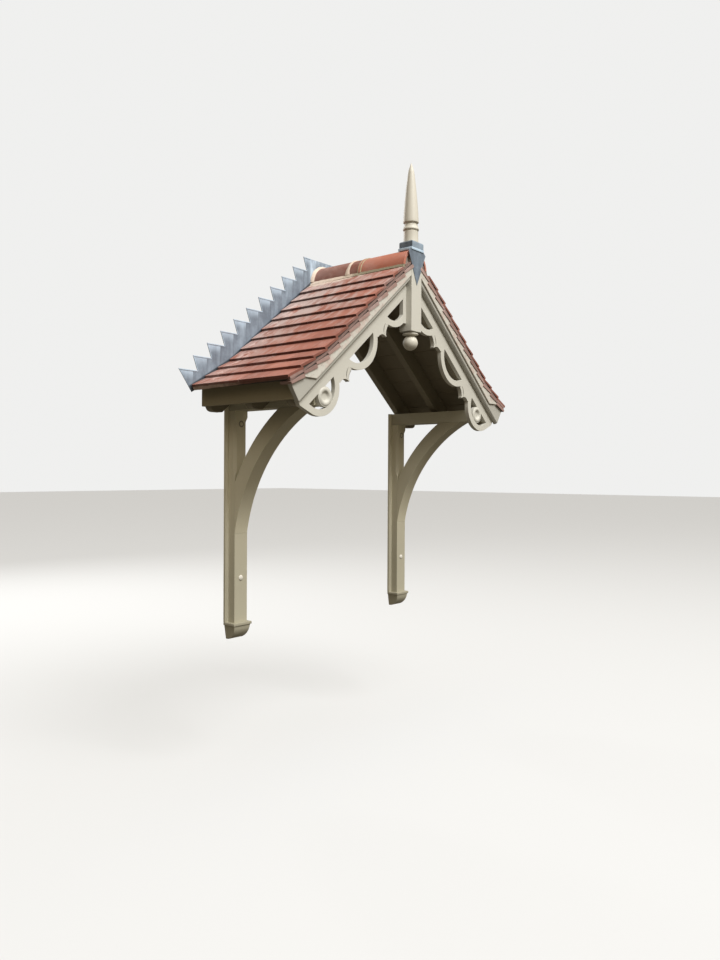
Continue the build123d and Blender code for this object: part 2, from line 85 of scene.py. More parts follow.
class PorchPaintSettings(bpy.types.PropertyGroup):
    """Paint and joinery."""
    timber: colour_property("Timber paint", "Paint on the gable boards", (0.635, 0.622, 0.555))
    # Painted light: the timber paint made paler and warmer for the warm bounce light on the posts and
    # beams.
    brackets: colour_property("Bracket paint", "Paint on the posts and beams", (0.72, 0.68, 0.52))
    # Painted shade: the paint darkened for the shade under the roof.
    shaded: colour_property("Sheltered paint", "Paint under the roof", (0.25, 0.22, 0.155))
    # Painted shade: the paint darkened for the shade under the eaves.
    fascia: colour_property("Fascia paint", "Grimy paint under the eaves", (0.29, 0.25, 0.16))
    # Painted shade: the paint darkened for the shade under the roof on the soffit boards and battens.
    soffit: colour_property("Soffit paint", "Paint on the soffit boards", (0.235, 0.20, 0.14))
    finial: colour_property("Finial paint", "Paint on the turned pieces", (0.68, 0.65, 0.56))
    groove: colour_property("Groove", "Shade in the grooves of the leaves", (0.13, 0.12, 0.09))
    arris: length_property("Arris", "Rounding of the edges of the frame", 0.0025)
    fret_arris: length_property("Fretwork arris", "Rounding of the sawn fretwork", 0.0045)
    fret_apex_drop: length_property(
        "Fretwork apex", "Height of the fretwork apex over the king post's foot", 0.235)
    cheek: length_property("Leaf cheek", "Thickness of the cheek on a leaf", 0.0242)
    volute_reach: length_property("Volute reach", "Distance of the volute from the middle", 0.709)
    volute_drop: length_property("Volute drop", "Depth of the volute under the apex", 0.646)
    volute_radius: length_property("Volute radius", "Radius of the turned rim", 0.0475)
    point: length_property("Finial point", "Length of the point on the finial", 0.048)
    ball: length_property("Pendant ball", "Radius of the ball under the king post", 0.0412)
    neck: length_property("Pendant neck", "Radius of the neck over the ball", 0.027)


class PorchRoofSettings(bpy.types.PropertyGroup):
    """Tiles, ridge and mortar."""
    dark_clay: colour_property("Dark clay", "Darkest tile", (0.235, 0.074, 0.048))
    light_clay: colour_property("Light clay", "Palest tile", (0.49, 0.190, 0.135))
    # Pale bloom on the tiles, partly a painted sheen.
    bloom_and_sheen: colour_property("Bloom", "Pale bloom near the wall", (0.52, 0.40, 0.375))
    verge_dark: colour_property("Dark undercloak", "Darkest undercloak tile", (0.20, 0.115, 0.098))
    verge_light: colour_property("Pale undercloak", "Palest undercloak tile", (0.50, 0.33, 0.285))
    smear: colour_property("Smeared mortar", "Mortar stained by clay", (0.50, 0.37, 0.32))
    ridge_clay: colour_property("Ridge clay", "Front ridge tile", (0.46, 0.155, 0.095))
    ridge_dark: colour_property("Dark ridge clay", "Back ridge tile", (0.225, 0.070, 0.042))
    mortar: colour_property("Mortar", "Bedding and pointing", (0.80, 0.67, 0.56))
    lichen: colour_property("Lichened mortar", "Old mortar in the weather", (0.44, 0.40, 0.25))
    tile_width: length_property("Tile width", "Width of a plain tile", 0.165)
    tile_length: length_property("Tile length", "Length of a tile up to the next course", 0.112)
    eaves_tile: length_property("Eaves tile", "Length of a tile under the first course", 0.092)
    tile_thickness: length_property("Tile thickness", "Thickness of a plain tile", 0.012)
    tile_gauge: length_property("Gauge", "Distance from one course to the next", 0.100)
    tile_gap: length_property("Gap", "Gap between two tiles of a course", 0.0012)
    tile_wear: length_property("Unevenness", "How far a tile strays from flat", 0.0016)
    butt_height: length_property("Butt height", "Height of a butt over the battens", 0.034)
    sprocket_start: length_property(
        "Sprocket start", "Distance at which the roof flattens", 0.740)
    eaves_reach: length_property("Eaves reach", "Half the width of the eaves", 0.986)
    undercloak: length_property("Undercloak", "Thickness of the undercloak tiles", 0.0125)
    lip: length_property("Lip", "How far an undercloak tile stands out in front", 0.0036)
    tooth: length_property("Tooth", "How far an undercloak tile hangs at its upper end", 0.015)
    ridge_radius: length_property("Ridge radius", "Outer radius of a ridge tile", 0.108)
    ridge_bore: length_property("Ridge bore", "Inner radius of a ridge tile", 0.095)
    ridge_length: length_property("Ridge tile", "Length of the ridge tile at the wall", 0.274)
    ridge_cut: length_property("Cut ridge tile", "Length of the cut ridge tile", 0.078)
    ridge_gap: length_property("Ridge gap", "Gap between two ridge tiles", 0.003)
    courses: count_property("Courses", "Courses on each slope", 11)
    seed: count_property("Seed", "Seed for the spread of the tiles", 7)


class PorchLeadSettings(bpy.types.PropertyGroup):
    """Lead and fixings."""
    lead: colour_property("Lead", "Weathered lead", (0.145, 0.182, 0.230))
    patina: colour_property("Patina", "White bloom on the lead", (0.42, 0.53, 0.64))
    cap: colour_property("Bolt cover", "Domed cover over a bolt", (0.80, 0.78, 0.70))
    recess: colour_property("Bolt recess", "Shade round the upper bolt", (0.30, 0.275, 0.22))
    fold: length_property("Fold", "Height of the folded edge of a step", 0.006)
    step_rise: length_property("Step rise", "Height of one step of the flashing", 0.075)
    step_run: length_property("Step run", "Width of one step of the flashing", 0.090)
    step_rake: length_property("Step rake", "Overhang of the point of a step", 0.029)
    steps: count_property("Steps", "Steps of the flashing on each side", 11)
    cap_arris: length_property("Cap arris", "Rounding of the lead over the king post", 0.003)
    cover_radius: length_property("Cover radius", "Radius of the bolt covers", 0.0145)
    cover_rise: length_property("Cover rise", "Height of the dome of a cover", 0.0072)
    ring_radius: length_property("Ring radius", "Radius of the ring round the upper bolt", 0.0205)
    hole_radius: length_property("Hole radius", "Radius inside that ring", 0.0171)
    head_radius: length_property("Head radius", "Radius of the head of the upper bolt", 0.0108)
    lower_bolt: length_property(
        "Lower bolt", "Height of the lower bolt over the foot's top", 0.235)
    upper_bolt: length_property(
        "Upper bolt", "Height of the upper bolt over the foot's top", 1.049)


class PorchStageSettings(bpy.types.PropertyGroup):
    """Floor, light and camera."""
    floor_depth: length_property("Floor depth", "Depth of the floor under the origin", 2.645)
    floor_reach: length_property("Floor reach", "Half the width of the floor", 60.0)
    key: number_property("Key light", "Strength of the main lamp", 2150.0)
    back: number_property("Back light", "Strength of the lamp behind the porch", 420.0)
    sky: number_property("Sky", "Strength of the open sky in front", 1.65)
    wall_side: number_property("Wall side", "Share of the sky on the side of the wall", 0.12)
    bounce: number_property("Bounce", "Strength of the light from below", 0.035)
    camera_place: bpy.props.FloatVectorProperty(
        name="Camera place", description="Where the camera stands", size=3,
        default=(-3.53845, -3.17695, -1.05989), subtype="TRANSLATION")
    lens: number_property("Lens", "Focal length on a 36 mm frame", 29.42)
    heading: number_property("Heading", "Turn from the wall's normal", 0.887, "ANGLE")
    tilt: number_property("Tilt", "Rise of the line of sight", -0.007, "ANGLE")
    roll: number_property("Roll", "Roll of the camera", -0.005, "ANGLE")


class Term:
    """A socket of a node tree in an expression that adds Math nodes."""

    def __init__(self, tree, socket):
        self.tree = tree
        self.socket = socket

    def math(self, operation, *others):
        node = self.tree.nodes.new("ShaderNodeMath")
        node.operation = operation
        for place, value in enumerate((self, *others)):
            put(self.tree, node.inputs[place], value)
        return Term(self.tree, node.outputs[0])

    def __add__(self, other):
        return self.math("ADD", other)

    def __mul__(self, other):
        return self.math("MULTIPLY", other)

    def __sub__(self, other):
        return self.math("SUBTRACT", other)

    def __truediv__(self, other):
        return self.math("DIVIDE", other)

    def __neg__(self):
        return self * -1.0

    def __rsub__(self, other):
        return -self + other

    __radd__ = __add__
    __rmul__ = __mul__

    def floor(self):
        return self.math("FLOOR")

    def low(self, other):
        return self.math("MINIMUM", other)

    def high(self, other):
        return self.math("MAXIMUM", other)

    def over(self, other):
        return self.math("GREATER_THAN", other)

    def limit(self):
        return self.high(0.0).low(1.0)

    def step(self, start, end):
        """Smooth rise from 0 at start to 1 at end."""
        node = self.tree.nodes.new("ShaderNodeMapRange")
        node.interpolation_type = "SMOOTHSTEP"
        for name, value in (("Value", self), ("From Min", start), ("From Max", end)):
            put(self.tree, node.inputs[name], value)
        return Term(self.tree, node.outputs["Result"])


def put(tree, socket, value):
    """Link a term or an output to a socket, or set it to a plain value or an opaque colour."""
    if isinstance(value, Term):
        value = value.socket
    if isinstance(value, bpy.types.NodeSocket):
        tree.links.new(value, socket)
    elif value is not None:
        socket.default_value = (*value, 1.0)[:4] if socket.type == "RGBA" else value


class Tree:
    """A node tree under construction."""

    def __init__(self, tree):
        self.tree = tree

    def node(self, kind, inputs=None, **settings):
        """Any node: its settings first, then the values or links of its sockets."""
        node = self.tree.nodes.new(kind)
        for name, value in settings.items():
            setattr(node, name, value)
        for name, value in (inputs or {}).items():
            put(self.tree, node.inputs[name], value)
        return node

    def made(self, kind, inputs=None, **settings):
        """The first output of a node."""
        return self.node(kind, inputs, **settings).outputs[0]

    def term(self, socket):
        return Term(self.tree, socket)

    def part(self, vector, axis):
        """One coordinate of a vector."""
        return self.term(self.node("ShaderNodeSeparateXYZ", {"Vector": vector}).outputs[axis])


class Finish(Tree):
    """A procedural material whose colour and relief are laid on in coats."""

    def __init__(self, name, base=None):
        self.material = bpy.data.materials.new(name)
        self.material.use_nodes = True
        super().__init__(self.material.node_tree)
        self.tree.nodes.clear()
        self.place = self.node("ShaderNodeTexCoord").outputs["Object"]
        self.base = base
        self.normal = None

    def along(self, axis):
        """Place on the object along one axis."""
        return self.part(self.place, axis)

    def facing(self, axis, start, end):
        """Mask of the faces that look against an axis."""
        normal = self.node("ShaderNodeNewGeometry").outputs["Normal"]
        return (-self.part(normal, axis)).step(start, end)

    def underside_mask(self):
        """Faces that look down, which take painted shade."""
        return self.facing("Z", 0.1, 0.6)

    def front(self):
        """Faces that look away from the wall."""
        return self.facing("Y", 0.6, 0.9)

    def noise(self, scale, detail=4.0, roughness=0.55, stretch=None):
        place = self.place
        if stretch:
            place = self.made("ShaderNodeMapping", {"Vector": place, "Scale": stretch})
        return self.term(self.made("ShaderNodeTexNoise", {
            "Vector": place, "Scale": scale, "Detail": detail, "Roughness": roughness}))

    def coat(self, share, colour):
        """Lay a colour over the finish by a share or a mask."""
        node = self.node("ShaderNodeMix", {0: share, 6: self.base, 7: colour}, data_type="RGBA")
        self.base = node.outputs[2]

    def relief(self, height, distance, strength):
        """Add a relief to the surface."""
        self.normal = self.made("ShaderNodeBump", {
            "Height": height, "Distance": distance, "Strength": strength, "Normal": self.normal})

    def close(self, roughness):
        shader = self.made("ShaderNodeBsdfPrincipled", {
            "Base Color": self.base, "Roughness": roughness, "Normal": self.normal})
        self.node("ShaderNodeOutputMaterial", {"Surface": shader})
        return self.material


def shade(colour, factor):
    return tuple(min(1.0, part * factor) for part in colour)


def paint_finish(name, colour, along, gloom=None, grime=0.35):
    """Brush paint on timber with its marks along one axis, with painted shade on faces that look down
    and, where asked, painted shade from one height to another.
    """
    finish = Finish(name, colour)
    across_brush, along_brush = 14.0, 0.9
    stretch = [along_brush if axis == along else across_brush for axis in "XYZ"]
    grain = finish.noise(9.0, 5.0, 0.6, stretch)
    cloud = finish.noise(3.2, 3.0)
    fine = finish.noise(60.0, 3.0)
    soiled = cloud.step(0.45, 0.8) * 0.6 + fine.step(0.5, 0.9) * 0.25 + grain.step(0.5, 0.9) * 0.3
    finish.coat(soiled * grime, shade(colour, 0.72))
    finish.coat(grain.step(0.62, 0.95) * 0.3, shade(colour, 1.12))
    # Painted shade on faces that look down.
    finish.coat(finish.underside_mask() * 0.35, shade(colour, 0.5))
    # Painted shade that deepens from one height to another.
    if gloom is not None:
        tint, start, end, share = gloom
        height = finish.along("Z")
        reach = height.step(start, end) if start < end else (-height).step(-start, -end)
        finish.coat(reach * share, tint)
    finish.relief(grain, 0.0011, 0.5)
    finish.relief(fine, 0.0004, 0.35)
    return finish.close(cloud * 0.22 + 0.36)


def pointed_finish(name, colour, mortar):
    """Painted board smeared with mortar stained by the tiles."""
    finish = Finish(name, colour)
    smear = finish.noise(16.0, 5.0, 0.7)
    blot = finish.noise(44.0, 4.0, 0.6)
    finish.coat(smear.step(0.44, 0.64) * 0.6, shade(mortar, 1.2))
    finish.coat(blot.step(0.5, 0.7) * 0.5, shade(mortar, 0.75))
    finish.relief(smear, 0.003, 0.5)
    finish.relief(blot, 0.001, 0.5)
    return finish.close(blot * 0.2 + 0.6)


def clay_finish(name, dark, light, bloom_and_sheen, bloom_and_sheen_share, stretch, underside_shade=0.8, smeared=None, ends=0.0):
    """Sand-faced clay with a tone for each tile, a pale bloom towards the wall and the ridge that is
    partly a painted sheen, and painted shade on the ends and the undersides.
    """
    finish = Finish(name, dark)
    tone = finish.term(finish.node("ShaderNodeAttribute", attribute_name="tone").outputs["Fac"])
    depth = finish.along("Y")
    near_wall = depth.step(-0.62, -0.05)
    near_ridge = finish.along("Z").step(-0.55, -0.05)
    mottle = finish.noise(22.0, 5.0, 0.65)
    cloud = finish.noise(4.5, 3.0)
    sand = finish.noise(320.0, 2.0)
    bloom = finish.noise(9.0, 5.0, 0.7, stretch)
    finish.coat((tone * 0.42 + mottle * 0.60 + cloud * 0.5 - 0.34).limit(), light)
    # The pale coat towards the wall and the ridge is partly real bloom and partly a painted sheen.
    reach = near_wall * 0.45 + near_ridge * 0.6 + 0.15
    bloom_and_sheen_mask = (bloom + near_wall * 0.12 + near_ridge * 0.06).step(0.46, 0.74) * reach
    finish.coat((bloom_and_sheen_mask * (2.0 * bloom_and_sheen_share)).limit(), bloom_and_sheen)
    run_off = depth.step(-0.20, -0.11) * (-depth).step(0.03, 0.08) * mottle.step(0.50, 0.62)
    finish.coat(run_off * bloom_and_sheen_share * 1.2, shade(bloom_and_sheen, 1.5))
    if smeared is not None:
        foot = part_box("left_ridge_mortar")[0].z
        rise = finish.along("Z") + (bloom - 0.5) * 0.05 + depth.step(-0.50, -0.10) * 0.026
        finish.coat(rise.step(foot, foot + 0.006) * 0.8, smeared)
    specks = finish.noise(52.0, 5.0, 0.7).step(0.6, 0.78)
    finish.coat(specks * 0.4, shade(dark, 0.7))
    # Painted shade on the tile ends that face the front.
    finish.coat(finish.front() * ends, shade(dark, 0.5))
    # Painted shade on faces that look down, such as the butts of the tiles.
    finish.coat(finish.underside_mask() * underside_shade, shade(dark, 0.2))
    finish.relief(mottle, 0.002, 0.6)
    finish.relief(sand, 0.0004, 0.5)
    return finish.close(mottle * 0.2 + 0.6)


def mortar_finish(name, colour, dark=0.68, weathered=None):
    """Gritty lime mortar with darker lumps, weathered to another colour at the front."""
    finish = Finish(name, colour)
    grit = finish.noise(240.0, 4.0, 0.7)
    lumps = finish.noise(34.0, 5.0, 0.65)
    cloud = finish.noise(9.0, 3.0)
    finish.coat(lumps.step(0.4, 0.75) * 0.55, shade(colour, dark))
    finish.coat(cloud.step(0.5, 0.75) * 0.3, shade(colour, 1.2))
    if weathered is not None:
        reach = (lumps * 0.2 - finish.along("Y")).step(0.32, 0.50)
        finish.coat(reach * 0.9, shade(weathered, 0.55))
    finish.relief(lumps, 0.004, 0.8)
    finish.relief(grit, 0.0008, 0.7)
    return finish.close(0.92)


def lead_finish(name, lead, patina, bloom=0.55, front=0.0, stepped=False):
    """Dull lead with a soft pale bloom that runs down it, palest at the top of every step."""
    finish = Finish(name, lead)
    streak = finish.noise(9.0, 4.0, 0.55, (2.6, 2.6, 0.5))
    cloud = finish.noise(8.0, 4.0, 0.6)
    fine = finish.noise(70.0, 4.0, 0.6)
    dress = finish.noise(13.0, 2.0)
    pale = streak.step(0.35, 0.75) * 0.5 + cloud.step(0.4, 0.75) * 0.4 + fine.step(0.45, 0.85) * 0.2
    finish.coat((pale * (2.0 * bloom)).limit(), patina)
    if stepped:
        edge, lap, foot = step_masks(finish)
        finish.coat(edge * (streak * 0.5 + 0.5), shade(patina, 1.25))
        finish.coat(lap * 0.5, shade(lead, 0.4))
        # Painted shade along the line where the flashing meets the tiles.
        finish.coat(foot * 0.85, shade(lead, 0.2))
    # Painted light: paler patina on faces that look to the front, where the light falls.
    finish.coat(finish.front() * front, patina)
    finish.relief(dress, 0.010, 0.5)
    finish.relief(fine, 0.0007, 0.5)
    return finish.close(cloud * 0.25 + 0.45)


def step_masks(finish):
    """Masks of the stepped flashing: under the top edges, along the laps, along the tiles."""
    roof = bpy.context.scene.porch_roof
    lead = bpy.context.scene.porch_lead
    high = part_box("right_stepped_flashing")[1]
    across = finish.along("X").math("ABSOLUTE")
    height = finish.along("Z")
    along = (high.x - across) / lead.step_run
    step = along.floor()
    top = step * lead.step_rise + (high.z - (lead.steps - 1) * lead.step_rise)
    pale_band = 0.055
    shade_start, shade_end = 0.037, 0.045
    edge = (height - top + pale_band).step(0.0, pale_band)
    lap = (step - along) * lead.step_run
    bend = eaves_height() + (roof.eaves_reach - roof.sprocket_start) * math.tan(SPROCKET_PITCH)
    flat = (roof.eaves_reach - across) * math.tan(SPROCKET_PITCH) + eaves_height()
    steep = (roof.sprocket_start - across) * math.tan(ROOF_PITCH) + bend
    over = flat.high(steep) - height
    return edge, lap.step(-0.004, -0.001), over.step(-shade_end, -shade_start)


FINISHES = {}


def make_finishes():
    """Mix every finish once, under the name by which the pieces ask for it."""
    paint = bpy.context.scene.porch_paint
    roof = bpy.context.scene.porch_roof
    lead = bpy.context.scene.porch_lead
    # Painted shade: posts and feet darken towards the bottom, braces towards the eaves.
    low_shade = (shade(paint.brackets, 0.42), -1.05, -1.70, 0.55)
    under_eaves = (shade(paint.fascia, 0.9), -1.02, -0.70, 0.6)
    even = (1.0, 1.0, 1.0)
    down_slope = (1.0, 2.4, 1.0)
    along_ridge = (1.0, 0.4, 1.0)
    recipes = {
        paint_finish: {
            "timber_X": (paint.timber, "X"),
            "timber_Z": (paint.timber, "Z"),
            "inner_X": (paint.shaded, "X"),
            "inner_Y": (paint.shaded, "Y"),
            "post": (paint.brackets, "Z", low_shade),
            # Painted shade: the feet and the beams take the bracket paint darkened.
            "foot": (shade(paint.brackets, 0.72), "Z", low_shade),
            "beam": (shade(paint.brackets, 0.72), "Y"),
            "bracket": (paint.brackets, "Z", under_eaves),
            # Painted shade: the bargeboards take the timber paint darkened.
            "board": (shade(paint.timber, 0.76), "X", None, 0.5),
            "fascia": (paint.fascia, "Y"),
            "soffit": (paint.soffit, "Y", None, 0.5),
            "finial": (paint.finial, "Z", None, 0.3),
            "cap": (lead.cap, "Z", None, 0.2),
        },
        pointed_finish: {"pointed": (paint.timber, roof.smear)},
        clay_finish: {
            "clay": (roof.dark_clay, roof.light_clay, roof.bloom_and_sheen, 0.5, down_slope, 0.8,
                     shade(roof.mortar, 0.9), 0.45),
            "verge_clay": (roof.verge_dark, roof.verge_light, roof.bloom_and_sheen, 0.5, even, 0.3),
            "ridge_red": (
                roof.ridge_clay, shade(roof.ridge_clay, 1.3), roof.bloom_and_sheen, 0.16, along_ridge),
            "ridge_dark": (shade(roof.ridge_dark, 0.8), shade(roof.ridge_dark, 1.9), roof.bloom_and_sheen,
                           0.12, along_ridge),
        },
        mortar_finish: {
            "mortar": (roof.mortar,),
            "lichen": (roof.lichen,),
            # Painted shade: mortar darkened to a tenth, for the fills under the tiles and behind the
            # undercloak.
            "dark_bed": (shade(roof.mortar, 0.10),),
            "end_bed": (shade(roof.mortar, 0.40),),
            "verge_bed": (shade(roof.verge_light, 0.5), 0.4),
            "smear": (roof.smear, 0.3, roof.dark_clay),
            "ridge_bed": (roof.mortar, 0.68, roof.lichen),
            "recess": (lead.recess,),
            "groove": (paint.groove,),
        },
        lead_finish: {
            # The saddle's patina is laid paler and fuller, partly a painted highlight.
            "lead": (lead.lead, shade(lead.patina, 1.2), 0.9),
            "step_lead": (lead.lead, lead.patina, 0.4, 0.0, True),
            "plain_lead": (shade(lead.lead, 0.9), lead.patina, 0.25),
            # The cap's front takes paler patina as painted light.
            "cap_lead": (shade(lead.lead, 0.8), lead.patina, 0.25, 0.45),
            "fold_lead": (lead.patina, shade(lead.patina, 1.25)),
            "skirt": (shade(lead.patina, 1.2), shade(lead.patina, 1.6)),
        },
    }
    for recipe, finishes in recipes.items():
        for title, values in finishes.items():
            FINISHES[title] = recipe(title, *values)


def linked(name, data):
    """A new object in the scene."""
    made = bpy.data.objects.new(name, data)
    bpy.context.scene.collection.objects.link(made)
    return made


def object_from(name, mesh, finish, replaced=()):
    """Make a piece of a finished mesh, put it on the body and hide the nodes it stands for."""
    made = linked(name, mesh)
    mesh.materials.clear()
    mesh.materials.append(FINISHES[finish])
    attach(made, "root")
    for node in replaced:
        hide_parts(node)


def mesh_from(name, form):
    """Turn a bmesh into a mesh with outward faces and sharp edges where it turns."""
    bmesh.ops.recalc_face_normals(form, faces=form.faces)
    mesh = bpy.data.meshes.new(name)
    form.to_mesh(mesh)
    form.free()
    smooth_mesh(mesh, 35.0)
    return mesh


def piece_from(name, form, finish, replaced=()):
    object_from(name, mesh_from(name, form), finish, replaced)


def smooth_mesh(mesh, angle):
    for face in mesh.polygons:
        face.use_smooth = True
    mesh.set_sharp_from_angle(angle=math.radians(angle))


def run_modifiers(carrier):
    """The plain mesh of an object with its modifiers run, without the object."""
    graph = bpy.context.evaluated_depsgraph_get()
    mesh = bpy.data.meshes.new_from_object(carrier.evaluated_get(graph))
    bpy.data.objects.remove(carrier)
    return mesh


def joinery(node, arris, finish):
    """A copy of a frame node with its flat faces merged and its edges rounded."""
    weld = 0.00002
    flat = math.radians(0.6)
    corner = math.radians(32.0)
    form = bmesh.new()
    form.from_mesh(nodes[node].data)
    bmesh.ops.remove_doubles(form, verts=form.verts, dist=weld)
    bmesh.ops.dissolve_limit(form, angle_limit=flat, verts=form.verts, edges=form.edges)
    mesh = bpy.data.meshes.new(node + "_sawn")
    form.to_mesh(mesh)
    form.free()
    for face in mesh.polygons:
        face.use_smooth = True
    sawn = linked(node + "_sawn", mesh)
    rounding = sawn.modifiers.new("arris", "BEVEL")
    rounding.limit_method = "ANGLE"
    rounding.angle_limit = corner
    rounding.width = arris
    rounding.segments = 2
    rounding.use_clamp_overlap = True
    level = sawn.modifiers.new("level", "WEIGHTED_NORMAL")
    level.weight = 100
    object_from(node + "_painted", run_modifiers(sawn), finish, (node,))


def refinish(node, finish):
    """Give a node that keeps its own mesh a better material."""
    nodes[node].data.materials.clear()
    nodes[node].data.materials.append(FINISHES[finish])


def tube(rings, caps=None, form=None):
    """A bmesh through rings of points, closed at both ends by faces with the given corners."""
    if form is None:
        form = bmesh.new()
    rings = [[form.verts.new(point) for point in ring] for ring in rings]
    for first, second in zip(rings, rings[1:]):
        for place in range(len(first)):
            after = (place + 1) % len(first)
            form.faces.new((first[place], first[after], second[after], second[place]))
    for ring in (rings[0], rings[-1]):
        for corners in caps or (range(len(ring)),):
            form.faces.new([ring[corner] for corner in corners])
    return form


def turned_form(profile, centre, steps, axis="Z"):
    """Solid of revolution from pairs of radius and place along the axis."""
    rings = []
    for radius, along in profile:
        ring = []
        for step in range(steps):
            turn = 2 * math.pi * step / steps
            first = centre[0] + radius * math.cos(turn)
            second = centre[1] + radius * math.sin(turn)
            ring.append((first, second, along) if axis == "Z" else (first, along, second))
        rings.append(ring)
    return tube(rings)


def prism(name, outline, depths, finish, mirror):
    """Extrude an outline in X and Z between two depths."""
    form = tube([[(mirror * x, depth, z) for x, z in outline] for depth in depths])
    bmesh.ops.triangulate(form, faces=[face for face in form.faces if len(face.verts) > 4])
    piece_from(name, form, finish)


def ruffle(form, amount, scale):
    """Move the vertices a little by a noise that is the same on every run."""
    noise.seed_set(bpy.context.scene.porch_roof.seed)
    for vertex in form.verts:
        vertex.co += noise.noise_vector(vertex.co * scale) * amount


def arc_points(first, last, bulge, count):
    """Points on a curve between two profile points, pushed out by the bulge at its middle."""
    points = []
    for step in range(count + 1):
        share = step / count
        lift = 4 * bulge * share * (1 - share)
        points.append((first[0] + (last[0] - first[0]) * share + lift,
                       first[1] + (last[1] - first[1]) * share))
    return points


def fret_apex():
    """Height of the apex of the fretwork, from which its shapes are set out."""
    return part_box("king_post")[0].z + bpy.context.scene.porch_paint.fret_apex_drop


class PORCH_OT_frame(bpy.types.Operator):
    """Rounds and paints the brackets, rafters and boards of the frame"""
    bl_idname = "porch.frame"
    bl_label = "Timber frame"

    def execute(self, context):
        arris = context.scene.porch_paint.arris
        groups = {
            "post": ("back_board", "post"),
            "foot": ("foot",),
            "bracket": ("brace",),
            "beam": ("beam",),
            "fascia": ("fascia",),
            "inner_X": ("wall_rafter", "middle_rafter", "front_rafter"),
        }
        for side in SIDES:
            for finish, names in groups.items():
                for name in names:
                    joinery(f"{side}_{name}", arris, finish)
            for name in ("soffit_boards", "battens"):
                refinish(f"{side}_{name}", "soffit")
        joinery("ridge_board", arris, "inner_Y")
        return {"FINISHED"}


class PORCH_OT_gable(bpy.types.Operator):
    """Rounds and paints the fretwork, the bargeboards, their capping and the king post"""
    bl_idname = "porch.gable"
    bl_label = "Gable boards"

    def execute(self, context):
        paint = context.scene.porch_paint
        for side in SIDES:
            joinery(f"{side}_fretwork", paint.fret_arris, "timber_X")
            joinery(f"{side}_bargeboard", paint.arris, "board")
            joinery(f"{side}_bargeboard_capping", paint.arris, "pointed")
            self.volute(side, paint)
        joinery("king_post", paint.arris, "timber_Z")
        self.leaves(paint)
        return {"FINISHED"}

    def volute(self, side, paint):
        """Turned rim with a dished middle, let into the end of the scroll."""
        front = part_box(f"{side}_fretwork")[0].y
        centre = (SIDES[side] * paint.volute_reach, fret_apex() - paint.volute_drop)
        shares = (
            (0.015, 0.0080), (0.26, 0.0078), (0.38, 0.0070), (0.46, 0.0048), (0.52, 0.0010),
            (0.58, -0.0024), (0.66, -0.0040), (0.76, -0.0044), (0.86, -0.0036), (0.95, -0.0014),
            (1.00, 0.0008), (1.00, 0.0020), (0.55, 0.0020), (0.55, 0.0088), (0.015, 0.0088))
        profile = [(share * paint.volute_radius, front + depth) for share, depth in shares]
        name = f"{side}_volute"
        piece_from(name, turned_form(profile, centre, steps=40, axis="Y"), "timber_X")

    def leaves(self, paint):
        """A cheek that straightens the longer edge of every leaf, and beside it a thin dark strip of
        painted shade for a groove.
        """
        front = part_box("left_fretwork")[0].y
        apex = fret_apex()
        tips = {"upper": (-0.226, -0.292), "lower": (-0.529, -0.557)}
        edge = arc_points((-0.003, 0.002), (0.010, 0.056), -0.0035, 7) + [(0.019, 0.066)]
        hidden = [(-0.014, 0.078), (-0.030, 0.070), (-0.032, 0.030), (-0.012, 0.010)]
        set_back = 0.0004
        depths = (front + set_back, front + set_back + paint.cheek)
        groove_low, groove_high = (-0.018, 0.014), (-0.006, 0.073)
        end_half, more_half = 0.0008, 0.0026
        steps = 8
        form = bmesh.new()
        for side, sign in SIDES.items():
            for title, (tip_x, tip_z) in tips.items():
                outline = [(tip_x + x, apex + tip_z + z) for x, z in edge + hidden]
                prism(f"{side}_{title}_leaf_cheek", outline, depths, "timber_X",
                      -sign)
                # The groove is a thin strip a little proud of the face, in painted shade.
                rings = []
                for step, (x, z) in enumerate(arc_points(groove_low, groove_high, -0.008, steps)):
                    half = end_half + more_half * math.sin(math.pi * step / steps)
                    section = ((-half, 0.0005), (0.0, -0.0012), (half, 0.0005))
                    rings.append([(-sign * (tip_x + x + across), front + depth, apex + tip_z + z)
                                  for across, depth in section])
                tube(rings, form=form)
        piece_from("leaf_grooves", form, "groove")


